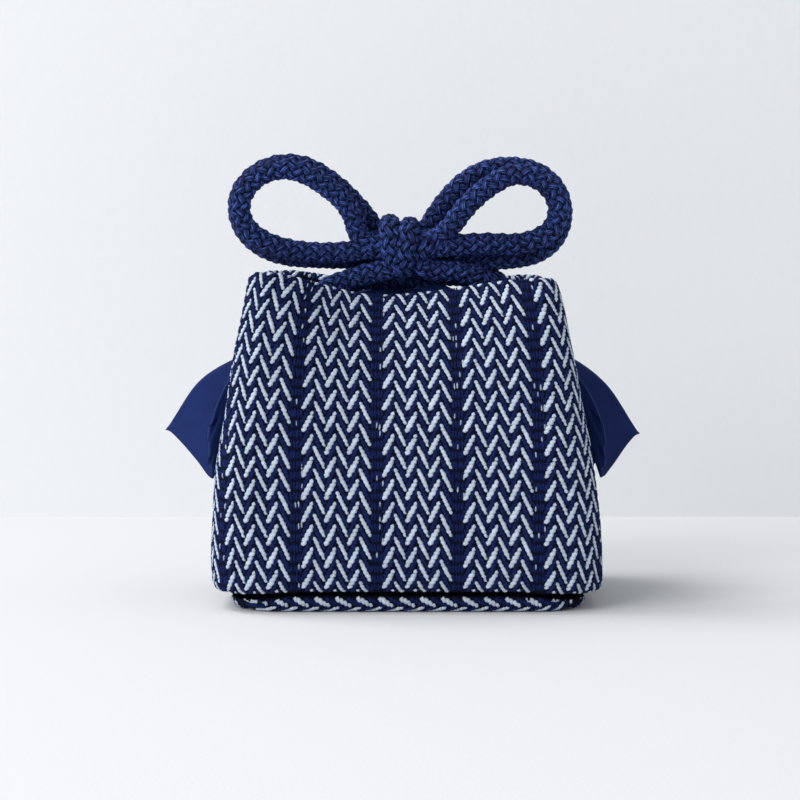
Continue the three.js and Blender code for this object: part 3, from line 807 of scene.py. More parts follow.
# %% Sheet helper
def sheet_mesh(name, outer, inner, chart, ring=False, rolled=False, capped=False):
    """A closed sheet from two grids of points in millimetres, outer skin first.

    chart gives the flat place of each point of both grids. With ring set, the last column of each
    row joins the first. With rolled set, the chart runs on over the top edge. With capped set, a
    flat face closes the first row of each skin.
    """
    rows, columns = outer.shape[:2]
    index = np.arange(2 * rows * columns).reshape(2, rows, columns)
    caps = [index[0, 0].tolist(), index[1, 0, ::-1].tolist()] if capped else []
    if ring:
        index = np.concatenate([index, index[:, :, :1]], axis=2)
    front, back = index

    def quads(a, b):
        return np.stack([a[:-1], a[1:], b[1:], b[:-1]], axis=-1).reshape(-1, 4)

    skins = [quads(low, high) for low, high in zip(front, front[1:])]
    skins += [quads(low[::-1], high[::-1]) for low, high in zip(back, back[1:])]
    edges = [] if capped else [quads(back[0], front[0])]
    (skins if rolled else edges).append(quads(front[-1], back[-1]))
    if not ring:
        edges += [quads(front[:, 0][::-1], back[:, 0][::-1]), quads(front[:, -1], back[:, -1])]
    faces = np.vstack(skins + edges)
    points = np.concatenate([outer.reshape(-1, 3), inner.reshape(-1, 3)]) * MM
    piece = mesh_object(name, points, faces=faces.tolist() + caps)
    flat = np.concatenate([c.reshape(-1, 2) for c in chart]) / CHART + (0.5, 0)
    uv = flat[np.concatenate([faces.reshape(-1), *caps]).astype(int)]
    uv[np.vstack(skins).size:faces.size] = -0.5
    piece.data.uv_layers.new(name="UVMap").data.foreach_set("uv", uv.reshape(-1))
    return piece


def dress(piece, material):
    """Gives a piece its one material."""
    piece.data.materials.clear()
    piece.data.materials.append(material)


print("flat cloth in a unit of UV:", CHART, "mm")

# %% [markdown]
# ## Front and back panel
#
# Each panel is one piece of cloth that wraps the two corners beside it. Its top edge is turned
# in: the outer skin rolls over and ends on a lip inside. The raised yarns come later, so this
# skin lies half a millimetre under the CAD solid's face. A little slow unevenness keeps it from
# looking moulded, and beside each seam the cloth sinks in.

# %% Panels
YARN_ROOM = 0.5  # depth left for the raised yarns
ROLL = 1.1  # radius of the turned-in edge
ROLL_MIDDLE = YARN_ROOM + ROLL
LIP = 3.8  # how far down inside the turned edge reaches
INNER_FACE = 1.9  # distance of the inner skin from the body's surface
WALL_ROWS = 88
SEAM_END = 0.003  # share of a panel's half left free at each side seam


def unevenness(points):
    """Slow waves of about a third of a millimetre, different on every part of the body."""
    x, y, z = np.moveaxis(points, -1, 0)
    waves = (np.sin(x / 9.1 + z / 14.3 + 0.6) * np.cos(z / 10.7 - y / 8.3)
             + 0.6 * np.sin(x / 5.3 - z / 8.9 + 2.1) * np.sin(z / 6.7 + y / 6.1 + 1.2))
    return 0.24 * waves


def seam_valley(f, v):
    """How far the cloth sinks beside the side seams and the base seam."""
    return 0.7 * hump((1 - np.abs(f)) / 0.035) + 0.6 * hump(v / 2.2)


def panel_profile():
    """Rows of both skins: a height as a share of the wall, what is added to it, and a distance."""
    outer, inner = [], []
    for share in np.linspace(0, 1, WALL_ROWS):
        outer.append((share, 0.0, YARN_ROOM))
        inner.append((share, share * (ROLL_MIDDLE - LIP), INNER_FACE))
    inner.append((1.0, ROLL_MIDDLE - LIP, ROLL_MIDDLE + ROLL))
    for turn in np.linspace(0, math.pi / 2, 6):
        if turn > 0:
            outer.append((1.0, ROLL * math.sin(turn), ROLL_MIDDLE - ROLL * math.cos(turn)))
        if turn < math.pi / 2:
            inner.append((1.0, ROLL * math.sin(turn), ROLL_MIDDLE + ROLL * math.cos(turn)))
    return np.array(outer), np.array(inner)


def panel_skin(panel, f, profile):
    """Points of one skin of a panel, and their arc across it."""
    share, added, distance = (column[:, None] for column in profile.T)
    v = share * (top_edge(f) - ROLL_MIDDLE) + added
    f = np.broadcast_to(f, v.shape)
    distance = distance + seam_valley(f, v) + unevenness(wall_point(panel, f, v)) * ease(v / 8)
    return inside_wall(panel, f, v, distance), arc_at(panel, f, v)


def panel_cloth(panel, columns=161):
    """One panel with its turned-in edge, and its flat chart."""
    way = 1 if panel == "front" else -1
    f = way * np.linspace(-1 + SEAM_END, 1 - SEAM_END, columns)
    (outer, u_outer), (inner, u_inner) = (panel_skin(panel, f, p) for p in panel_profile())
    # the chart's height is that of the wall, then the way walked over the roll and down inside
    rise = np.linspace(0, 1, WALL_ROWS)[:, None] * (top_edge(f) - ROLL_MIDDLE)
    strip = np.concatenate([outer[WALL_ROWS - 1:], inner[::-1]])
    walked = np.linalg.norm(np.diff(strip, axis=0), axis=2).cumsum(axis=0)
    over = len(outer) - WALL_ROWS
    v_outer = np.vstack([rise, rise[-1] + walked[:over]])
    v_inner = (rise[-1] + walked[over:])[::-1]
    chart = [np.stack([way * u, v], axis=-1) for u, v in ((u_outer, v_outer), (u_inner, v_inner))]
    return sheet_mesh(panel + "_cloth", outer, inner, chart, rolled=True)


# The panels' ground is navy darkened nearly to black: painted shade of the gaps between the yarns.
ground = cotton("cloth_ground", GROUND_NAVY_WITH_GAP_SHADE, GROUND_SHADE, fuzz=2600.0, sheen=0.0, bump=0.5)
panels = {panel: panel_cloth(panel) for panel in ("front", "back")}
for panel, piece in panels.items():
    dress(piece, ground)
    print(f"{piece.name}: {triangles(piece)} triangles")

# %% [markdown]
# ## The herringbone chart
#
# The cloth is charted as short slanted strokes. A repeat is six columns of strokes, leaning left
# and right by turns, and then a ladder of upright yarns. White strokes and indigo ribs follow
# each other up every column. Each stroke is a row of small lumps, one for each place where a
# thick yarn comes to the face. At this scale the yarns stand up far enough to catch the light, so
# they are real shapes on the cloth and not a picture of it.

# %% Herringbone chart
PERIOD = 6.56  # from one white stroke up to the next
COLUMN = 3.28  # width of a column of strokes
LADDER = 3.5  # width of the ladder between two sets of columns
COLUMNS = 6
REPEAT = LADDER + COLUMNS * COLUMN
FIRST_LADDER = -9.0

# A stroke from its lower to its upper end. turn: how the lumps lie, in degrees from level,
# sizes: of the lumps from the lower end up, rise: height of its middle in the repeat.
STROKES = {
    "white": {
        "up": {"low": (-1.20, -2.35), "high": (1.15, 2.45), "long": 2.45, "wide": 1.42, "turn": 31,
               "sizes": (0.84, 1.02, 1.04, 0.92, 0.66), "rise": 5.72},
        "down": {"low": (1.30, -2.75), "high": (-1.30, 2.75), "long": 2.0, "wide": 1.25,
                 "turn": -52, "sizes": (0.74, 0.98, 1.04, 1.04, 1.0, 0.82), "rise": 1.86},
    },
    "indigo": {
        "up": {"low": (-1.45, -3.1), "high": (1.40, 3.2), "long": 1.75, "wide": 1.22, "turn": 34,
               "sizes": (0.85, 1.0, 1.0, 1.0, 1.0, 1.0, 0.85), "rise": 5.72 - PERIOD / 2},
        "down": {"low": (1.45, -3.2), "high": (-1.45, 3.2), "long": 1.75, "wide": 1.20, "turn": -52,
                 "sizes": (0.85, 1.0, 1.0, 1.0, 1.0, 1.0, 0.85), "rise": 1.86 + PERIOD / 2},
    },
}
print("a repeat is", round(REPEAT, 2), "mm wide and", PERIOD, "mm high")

# %% [markdown]
# ## From strokes to lumps
#
# A stroke is a slanted row of lumps, thinner towards its ends. The strokes of a column sit one
# period apart, and the ladder's upright yarns are one long lump each. In a few places a pale
# thread peeps out between those, drawn at random from a fixed seed.

# %% Lumps of the chart
def stroke_lumps(colour, lean, u, v):
    """Centres, turns and sizes of the lumps of strokes whose middles are at u, v."""
    stroke = STROKES[colour][lean]
    sizes = np.array(stroke["sizes"])
    share = np.linspace(0, 1, len(sizes))[:, None]
    low, high = np.array(stroke["low"]), np.array(stroke["high"])
    places = low + share * (high - low)
    middles = np.stack([u, v], axis=-1)
    centres = (middles[:, None, :] + places[None]).reshape(-1, 2)
    count = len(middles)
    return {"u": centres[:, 0], "v": centres[:, 1], "turn": np.full(len(centres), stroke["turn"]),
            "long": np.tile(stroke["long"] * sizes, count),
            "wide": np.tile(stroke["wide"] * (0.4 + 0.6 * sizes), count)}


def joined(*parts):
    """Several sets of lumps as one."""
    return {key: np.concatenate([part[key] for part in parts]) for key in parts[0]}


def herringbone(colour, width, low, high):
    """All the lumps of one colour on flat cloth of a half width, between two heights."""
    parts = []
    repeats = range(-math.ceil(width / REPEAT) - 1, math.ceil(width / REPEAT) + 2)
    rows = range(math.floor(low / PERIOD) - 1, math.ceil(high / PERIOD) + 1)
    for k in repeats:
        for column in range(COLUMNS):
            lean = "up" if column % 2 == 0 else "down"
            u = FIRST_LADDER + k * REPEAT + LADDER / 2 + COLUMN * (column + 0.5)
            v = STROKES[colour][lean]["rise"] + PERIOD * np.array(rows)
            parts.append(stroke_lumps(colour, lean, np.full(len(v), u), v))
    return joined(*parts)


LADDER_YARNS = (-1.30, -0.45, 0.42, 1.27)  # places of the upright yarns across a ladder
LADDER_PITCH = 3.0  # from one upright float up to the next
PALE_SHARE = 0.13  # share of the places between them where a pale tick peeps out


def ladder(colour, width, low, high, random):
    """Upright indigo floats in the ladders, or the pale ticks that peep out between them."""
    rows = np.arange(math.floor(low / LADDER_PITCH) - 1, math.ceil(high / LADDER_PITCH) + 1)
    u, v = [], []
    for k in range(-math.ceil(width / REPEAT) - 1, math.ceil(width / REPEAT) + 2):
        for place in LADDER_YARNS:
            if colour == "indigo":
                u.append(np.full(len(rows), FIRST_LADDER + k * REPEAT + place))
                v.append(rows * LADDER_PITCH)
            else:
                ticks = rows[random.random(len(rows)) < PALE_SHARE] * LADDER_PITCH
                u.append(np.full(len(ticks), FIRST_LADDER + k * REPEAT + place + 0.4))
                v.append(ticks + random.uniform(-1, 1, len(ticks)))
    u, v = np.concatenate(u), np.concatenate(v)
    long, wide = (2.9, 0.86) if colour == "indigo" else (2.0, 0.55)
    return {"u": u, "v": v, "turn": np.full(len(u), 90.0), "long": np.full(len(u), long),
            "wide": np.full(len(u), wide)}


def kept(lumps, keep):
    """The lumps that a mask keeps."""
    return {key: value[keep] for key, value in lumps.items()}


print("lumps in a white stroke, leaning up and down:",
      [len(stroke["sizes"]) for stroke in STROKES["white"].values()])

# %% [markdown]
# ## One lump of yarn
#
# Where a thick yarn comes to the face of the cloth it bulges and dives again, like a grain of
# rice. The lump is repeated many thousands of times, so it has only two dozen triangles, and
# smooth shading rounds it. It also carries the place across it, from which its material draws the
# fine threads.

# %% Lump
def lump_mesh():
    """A small spindle one millimetre long and wide, with 24 triangles."""
    points = [(-0.5, 0, 0)]
    for x in (-0.22, 0.22):
        for k in range(6):
            angle = k * math.pi / 3
            points.append((x, 0.5 * math.cos(angle), 0.5 * math.sin(angle)))
    points.append((0.5, 0, 0))
    faces = []
    for k in range(6):
        after = (k + 1) % 6
        faces.append((0, 1 + after, 1 + k))
        faces.append((1 + k, 1 + after, 7 + after, 7 + k))
        faces.append((13, 7 + k, 7 + after))
    lump = mesh_object("lump", np.array(points) * MM, faces=faces)
    across = lump.data.attributes.new("across", "FLOAT", "POINT")
    across.data.foreach_set("value", np.array(points, np.float32)[:, 1])
    lump.hide_render = True
    return lump


LUMP = lump_mesh()
print("lump:", triangles(LUMP), "triangles")

# %% [markdown]
# ## Laying the yarns on the cloth
#
# Geometry Nodes put one small lump on every point of the flat chart, turn and size it a little
# unevenly, and make the instances real. Then each of their vertices looks up its place in the
# cloth's UV map and moves there, out along the cloth's normal by its own height. In this way the
# same chart wraps round corners, into the trough and over the turned-in edge.

# %% Weave tree
def weave_tree():
    """Geometry Nodes tree: points of a flat chart become lumps lying on a cloth."""
    tree, given, result = new_tree("raised yarns", "GeometryNodeTree", {
        "Chart": ("NodeSocketGeometry", None),
        "Cloth": ("NodeSocketObject", None),
        "Lump": ("NodeSocketObject", None),
        "Chart Size": ("NodeSocketFloat", CHART * MM),
        "Height": ("NodeSocketFloat", 0.86),
        "Turn Jitter": ("NodeSocketFloat", math.radians(7)),
        "Place Jitter": ("NodeSocketFloat", 0.08 * MM),
        "Size Jitter": ("NodeSocketFloat", 0.09),
        "Seed": ("NodeSocketInt", 7),
        "Material": ("NodeSocketMaterial", None),
    }, {"Yarns": ("NodeSocketGeometry", None)})

    def jitter(amount, salt):
        node = add_node(tree, "FunctionNodeRandomValue", {
            2: calc(tree, "MULTIPLY", amount, -1.0), 3: amount,
            8: calc(tree, "ADD", given["Seed"], float(salt))}, data_type="FLOAT")
        return node.outputs[1]

    shift = add_node(tree, "ShaderNodeCombineXYZ", {
        0: jitter(given["Place Jitter"], 1), 1: jitter(given["Place Jitter"], 2)}).outputs[0]
    points = add_node(tree, "GeometryNodeSetPosition", {
        "Geometry": given["Chart"], "Offset": shift}).outputs[0]
    points = store(tree, points, "tone", jitter(1.0, 3))
    angle = calc(tree, "ADD", named(tree, "turn"), jitter(given["Turn Jitter"], 4))
    turn = add_node(tree, "FunctionNodeEulerToRotation", {
        0: add_node(tree, "ShaderNodeCombineXYZ", {2: angle}).outputs[0]}).outputs[0]
    uneven = calc(tree, "ADD", jitter(given["Size Jitter"], 5), 1.0)
    size = add_node(tree, "ShaderNodeCombineXYZ", {
        0: calc(tree, "MULTIPLY", named(tree, "long"), uneven),
        1: calc(tree, "MULTIPLY", named(tree, "wide"), uneven),
        2: calc(tree, "MULTIPLY", given["Height"], uneven)}).outputs[0]
    lump = add_node(tree, "GeometryNodeObjectInfo", {"Object": given["Lump"]}).outputs["Geometry"]
    lumps = add_node(tree, "GeometryNodeInstanceOnPoints", {
        "Points": points, "Instance": lump, "Rotation": turn, "Scale": size}).outputs[0]
    lumps = add_node(tree, "GeometryNodeRealizeInstances", {"Geometry": lumps}).outputs[0]

    # look up every vertex in the cloth's UV map, and leave out those that find no cloth there
    flat = add_node(tree, "ShaderNodeSeparateXYZ", {
        0: add_node(tree, "GeometryNodeInputPosition").outputs[0]})
    where = add_node(tree, "ShaderNodeCombineXYZ", {
        0: calc(tree, "ADD", calc(tree, "DIVIDE", flat.outputs[0], given["Chart Size"]), 0.5),
        1: calc(tree, "DIVIDE", flat.outputs[1], given["Chart Size"])}).outputs[0]
    cloth = add_node(tree, "GeometryNodeObjectInfo", {"Object": given["Cloth"]}).outputs["Geometry"]

    def on_cloth(value):
        return add_node(tree, "GeometryNodeSampleUVSurface", {
            "Mesh": cloth, "Value": value, "UV Map": named(tree, "UVMap", data_type="FLOAT_VECTOR"),
            "Sample UV": where}, data_type="FLOAT_VECTOR").outputs

    place, found = on_cloth(add_node(tree, "GeometryNodeInputPosition").outputs[0])
    normal = on_cloth(add_node(tree, "GeometryNodeInputNormal").outputs["Normal"])[0]
    raised = vector_calc(tree, "SCALE", normal, scale=flat.outputs[2])
    lumps = store(tree, lumps, "found", found)
    lumps = add_node(tree, "GeometryNodeSetPosition", {
        "Geometry": lumps, "Position": vector_calc(tree, "ADD", place, raised)}).outputs[0]
    lumps = add_node(tree, "GeometryNodeDeleteGeometry", {
        "Geometry": lumps, "Selection": calc(tree, "LESS_THAN", named(tree, "found"), 0.5)},
        domain="POINT").outputs[0]
    tree.links.new(finished(tree, lumps, given["Material"]), result["Yarns"])
    return tree


WEAVE = weave_tree()
print("inputs of the weave:", [item.name for item in WEAVE.interface.items_tree])


def yarns(name, lumps, cloth, material, **values):
    """Lays a set of lumps on a cloth, as one piece."""
    points = np.stack([lumps["u"], lumps["v"], np.zeros(len(lumps["u"]))], axis=-1) * MM
    chart = mesh_object(name + "_chart", points)
    for label, value in (("turn", np.radians(lumps["turn"])), ("long", lumps["long"]),
                         ("wide", lumps["wide"])):
        stored = chart.data.attributes.new(label, "FLOAT", "POINT")
        stored.data.foreach_set("value", np.asarray(value, np.float32))
    return run_tree(chart, WEAVE, name, cloth=cloth, lump=LUMP, material=material, **values)


# %% [markdown]
# ## Yarn colours
#
# No two yarns take the dye alike, so each lump carries a random number, which its material turns
# into a slightly lighter or darker tone. The material also paints shade between the threads.

# %% Yarn materials
def yarn_cotton(name, colour, shade):
    """The cotton of the thick yarns, with their threads."""
    return cotton(name, colour, shade, fuzz=5200.0, patches=900.0, sheen=0.0, bump=1.0,
                  relief=effect(YARN_THREADS, "Height"), tone=effect(YARN_THREADS, "Tone"))


yarn_materials = {"white": yarn_cotton("yarn_white", YARN_WHITE, YARN_WHITE_SHADE),
                  "indigo": yarn_cotton("yarn_indigo", YARN_NAVY, YARN_NAVY_SHADE)}
print("yarn materials:", list(yarn_materials))

# %% [markdown]
# ## Yarns of the two panels
#
# The chart is larger than a panel, so only the lumps that lie wholly on its cloth are kept: clear
# of the side seams, above the base seam, and below the lip of the turned-in edge.

# %% Yarns on the panels
LUMP_MARGIN = 0.25
CHART_HALF = 96  # millimetres of chart to each side of a panel's middle


def reach_of(lumps):
    """How far each lump reaches from its middle, across the chart and along it."""
    turn = np.radians(lumps["turn"])
    return [0.55 * np.hypot(lumps["long"] * a, lumps["wide"] * b) + LUMP_MARGIN
            for a, b in ((np.cos(turn), np.sin(turn)), (np.sin(turn), np.cos(turn)))]


def panel_lumps(panel, colour, random):
    """The lumps of one colour that lie on a panel, up to the lip of its turned-in edge."""
    reach = WALL_CLOTH + ROLL * math.pi
    lumps = joined(herringbone(colour, CHART_HALF, 0, reach),
                   ladder(colour, CHART_HALF, 0, reach, random))
    u, v = lumps["u"], lumps["v"]
    wide, high = reach_of(lumps)
    way = 1 if panel == "front" else -1
    ends = [np.abs(arc_at(panel, np.full(len(u), side * (1 - SEAM_END)), v)) for side in (-1, 1)]
    f = np.clip(f_at(panel, way * u, v), -1, 1)
    top = top_edge(f) - ROLL_MIDDLE + ROLL * math.pi + 1.2
    inside = (np.abs(u) + wide < np.minimum(*ends)) & (v - high > 0) & (v + high < top)
    return kept(lumps, inside)


random = np.random.default_rng(23)
weave = {}
for panel, piece in panels.items():
    for colour, material in yarn_materials.items():
        name = f"weave_{panel}_{colour}"
        weave[name] = yarns(name, panel_lumps(panel, colour, random), piece, material)
        print(f"{name}: {triangles(weave[name])} triangles")

# %% [markdown]
# ## Base panel
#
# The base is a third piece of the same cloth, turned by a quarter, so that its columns run across
# the pouch. It is flat where it rests and turns up all round to meet the walls. Its chart is the
# cloth spread out flat again: the turned-up strip lies outside the flat part by the length of its
# arc.

# %% Base panel
BASE = {"width": 52.2, "depth": 37.6, "corner": 14.6, "turn": 2.9, "height": 4.9}
BASE_SKIN = 0.5  # room left for the raised yarns
BASE_SPREAD = 1.075  # the strokes of the base lie a little closer together
BASE_START = 52.6  # height of the base's middle in its chart
BASE_CLOTH = 1.5  # height of the inner skin above the table
BASE_INSIDE = 250  # where the inner skin lies in the chart, well clear of the outer one
FLAT_SHARES = (0.02, 0.25, 0.5, 0.75, 0.9, 1.0)  # rings of the flat part, from its middle out
SAG_FROM = 30.0  # how far from the middle the rim starts to lie lower


def rounded_rectangle(inset, count=11):
    """Points round the base's outline, drawn in by an inset, and the outward directions there."""
    w, d = BASE["width"] - inset, BASE["depth"] - inset
    r = BASE["corner"] - inset
    between = np.linspace(0, 1, 33)[1:-1, None]
    points, outward = [], []
    for x, y, start in ((1, -1, -0.5), (1, 1, 0.0), (-1, 1, 0.5), (-1, -1, 1.0)):
        angles = (start + np.linspace(0, 0.5, count)) * math.pi
        way = np.stack([np.cos(angles), np.sin(angles)], axis=-1)
        points.append(np.array([x * (w - r), y * (d - r)]) + r * way)
        outward.append(way)
    line, ways = [], []
    for k in range(4):
        after = (k + 1) % 4
        line += [points[k], points[k][-1] * (1 - between) + points[after][0] * between]
        ways += [outward[k], np.repeat(outward[after][:1], len(between), axis=0)]
    return np.vstack(line), np.vstack(ways)


def rim_sag(points):
    """How much lower the rim lies at the corners and sides, where the wall hangs lower too."""
    return CORNER_SAG * ease((np.abs(points[:, 0]) - SAG_FROM) / (BASE["width"] - SAG_FROM))


def base_skin(room, shift):
    """Rings of points of one skin of the base, from middle to rim, and their flat places."""
    rings, chart = [], []
    radius = BASE["turn"] - room
    edge, outward = rounded_rectangle(BASE["turn"])
    for share in FLAT_SHARES:
        rings.append(np.column_stack([edge * share, np.full(len(edge), room)]))
        chart.append(edge * share)
    for angle in np.linspace(0, 1.4, 12)[1:]:
        flat = edge + outward * radius * math.sin(angle)
        height = room + radius * (1 - math.cos(angle))
        rings.append(np.column_stack([flat, np.full(len(flat), height)]))
        chart.append(edge + outward * radius * angle)
    lean = rings[-1][:, :2] - outward * 0.05
    top = BASE["height"] - 0.1 - rim_sag(lean)
    rings.append(np.column_stack([lean, top]))
    chart.append(chart[-1] + outward * (top - height)[:, None])
    return np.array(rings), np.array(chart)[..., ::-1] * (1, BASE_SPREAD) + shift


# The base's ground is navy darkened nearly to black: painted shade of the gaps between the yarns.
base_ground = cotton("base_ground", GROUND_NAVY_WITH_GAP_SHADE, GROUND_SHADE, fuzz=2600.0, sheen=0.0, bump=0.6)
outer, chart = base_skin(BASE_SKIN, (0, BASE_START))
inner, inside = base_skin(BASE_CLOTH, (0, BASE_INSIDE))
base = sheet_mesh("base_cloth", outer, inner, (chart, inside), ring=True, capped=True)
dress(base, base_ground)
print("base:", triangles(base), "triangles")


# %% [markdown]
# ## Yarns on the base
#
# Only the turned-up rim of the base is ever seen, so it alone gets raised yarns, and the side
# that lies on the table stays smooth and flat.

# %% Yarns on the base
def base_lumps(colour):
    """The lumps on the base's turned-up rim. past is how far each lies outside the flat part."""
    lumps = herringbone(colour, 60, -10, 120)
    x, y = (lumps["v"] - BASE_START) / BASE_SPREAD, lumps["u"]
    w, d = BASE["width"] - BASE["turn"], BASE["depth"] - BASE["turn"]
    r = BASE["corner"] - BASE["turn"]
    corner = np.hypot(np.maximum(np.abs(x) - (w - r), 0), np.maximum(np.abs(y) - (d - r), 0)) - r
    past = np.where((np.abs(x) > w - r) & (np.abs(y) > d - r), corner,
                    np.maximum(np.abs(x) - w, np.abs(y) - d))
    return kept(lumps, (past > -1.0) & (past < BASE["height"]))


for colour, material in yarn_materials.items():
    name = f"weave_base_{colour}"
    weave[name] = yarns(name, base_lumps(colour), base, material, seed=31)
    print(f"{name}: {triangles(weave[name])} triangles")

# %% [markdown]
# ## Lining
#
# The pale lining is a thin tube just inside the walls. It shows as a narrow band inside the
# turned-in edge, and at the right of the back it has slipped up a little above it. It is a sheet
# of two skins like the panels, but its rings run all the way round, so it needs no seam.

# %% Lining
LINING = 0.9  # its thickness
SLIP = 1.8  # how far it has slipped down in front and at the left of the back
AROUND = {"front": np.linspace(-1, 1, 141)[:-1], "back": np.linspace(1, -1, 141)[:-1]}


def around(height, distance):
    """A ring of points round the pouch, at a height and a distance inside its wall."""
    return np.vstack([inside_wall(panel, f, height(panel, f), distance)
                      for panel, f in AROUND.items()])


def slipped(panel, f):
    """How far the lining stands up above its usual height."""
    if panel == "front":
        return np.full(len(f), -SLIP)
    lower = SLIP * (1 - ease((f + 0.1) / 0.3))
    return 3.4 * hump((f - 0.36) / 0.10) + 1.2 * hump((f - 0.62) / 0.14) - lower


def lining_skins():
    """The lining's two skins, in rings from the base up to its free edge."""
    rows = [(lambda panel, f, t=t: 1.0 + t * (top_edge(f) - 7.5), 2.5, LINING)
            for t in np.linspace(0, 1, 30)]
    for below, distance in ((5.2, 2.9), (4.2, 3.35), (3.0, 3.45), (1.8, 3.5)):
        rows.append((lambda panel, f, below=below:
                     top_edge(f) - below + slipped(panel, f) * (1 - below / 8), distance, LINING))
    rows.append((lambda panel, f: top_edge(f) - 1.0 + slipped(panel, f), 3.6, 0.7 * LINING))
    return [np.array([around(height, distance + skin * thick) for height, distance, thick in rows])
            for skin in (0, 1)]


def sheet_chart(points):
    """A flat chart of a grid of points: lengths along its rows and up its columns."""
    u = np.linalg.norm(np.diff(points, axis=1), axis=2).cumsum(axis=1)
    v = np.linalg.norm(np.diff(points, axis=0), axis=2).cumsum(axis=0)
    u = np.hstack([np.zeros((len(u), 1)), u])
    v = np.vstack([np.zeros((1, v.shape[1])), v])
    return np.stack([u, v], axis=-1)


def charted_sheet(name, outer, inner, ring=False):
    """A sheet whose chart is measured on its own two skins."""
    return sheet_mesh(name, outer, inner, (sheet_chart(outer), sheet_chart(inner)), ring=ring)


lining = charted_sheet("lining_cloth", *lining_skins(), ring=True)
dress(lining, cotton("lining_pale", LINING_PALE, LINING_SHADE, roughness=0.9, amount=0.4,
                     relief=effect(PLAIN_WEAVE, "Height"), bump=0.25))
print("lining:", triangles(lining), "triangles")

# %% [markdown]
# ## Navy collar
#
# A collar of plain navy cotton is sewn to the lining below the top edge. The cord runs round its
# other edge and has drawn it in almost shut, so the cloth falls in many folds that run towards
# the middle and get closer together there.

# %% Collar
MOUTH_RING = 1.4  # radius of the drawn-in middle
COLLAR = {"sewn_below": 18, "lowest": 70, "inside": 4.6, "peak": 93.4, "puff": 1.4}
NAVY = 1.0  # thickness of the navy cotton
FOLDS = ((19, 0.9, 0.3), (11, 0.7, 1.9), (29, 0.35, 0.8))  # how many round the mouth, height, start
# humps under the knot: x, y, width, depth, height
RISES = ((0, -15, 8, 6, 3.4), (13, 1, 9, 9, 3.0))


def collar_skin(offset, rows=44):
    """One skin of the collar, from the seam on the lining to the drawn-in middle."""
    rim = around(lambda panel, f: np.maximum(top_edge(f) - COLLAR["sewn_below"], COLLAR["lowest"]),
                 COLLAR["inside"])
    angle = np.arctan2(rim[:, 1], rim[:, 0])
    middle = np.column_stack([MOUTH_RING * np.cos(angle), MOUTH_RING * np.sin(angle),
                              np.full(len(angle), COLLAR["peak"])])
    rings = []
    for t in np.linspace(0, 1, rows):
        ring = rim + (middle - rim) * t
        reach = np.hypot(ring[:, 0], ring[:, 1])
        grow = ease(t / 0.35) * np.minimum(1, reach / 9)
        bend = angle + 0.25 * np.sin(3 * angle + 1.0) * (1 - t)
        folds = sum(height * (1 - np.abs(np.sin(0.5 * count * bend + start)) ** 0.8)
                    for count, height, start in FOLDS)
        ring[:, 2] += (COLLAR["puff"] * math.sin(math.pi * t * t)
                       + grow * (1.5 * folds - 0.9) - offset)
        for x, y, wide, deep, height in RISES:
            away = ((ring[:, 0] - x) / wide) ** 2 + ((ring[:, 1] - y) / deep) ** 2
            ring[:, 2] += height * np.exp(-away)
        rings.append(ring)
    return np.array(rings)


collar = charted_sheet("collar_cloth", collar_skin(0), collar_skin(NAVY), ring=True)
navy = cotton("plain_navy", CLOTH_NAVY, CLOTH_NAVY_SHADE, roughness=0.85, sheen=0.04, amount=0.6,
              patches=120.0, relief=effect(PLAIN_WEAVE, "Height"), bump=0.3)
dress(collar, navy)
print("collar:", triangles(collar), "triangles")

# %% [markdown]
# ## Ears
#
# At each side a corner of the collar comes out over the dip of the wall and hangs down as a
# pointed ear. It is a folded square of cloth: a ridge runs from the mouth to the tip, and from
# the ridge the cloth falls to both sides, with a soft valley before it meets the bag.

# %% Ears
EARS = {
    "left": {"side": -1, "tip": (72.8, 0, 50.8), "hem": (57.8, 20, 37.6),
             "swell": 2.0, "notch": 0.0, "lean": -0.5},
    "right": {"side": 1, "tip": (69.6, 0, 49.6), "hem": (57.0, 20, 38.0),
              "swell": 1.6, "notch": 1.8, "lean": 1.7},
}
NECK = {"inner": 43.3, "outer": 50.5, "inside": 74.6, "over": 71.6, "width": 6}
EAR_SHOULDER = (57.4, 13.5, 56.0)
EAR_VALLEY = 1.9  # depth of the valley between ridge and hem
EAR_RIPPLE = 0.35
EAR_CLOTH = 0.9  # its thickness


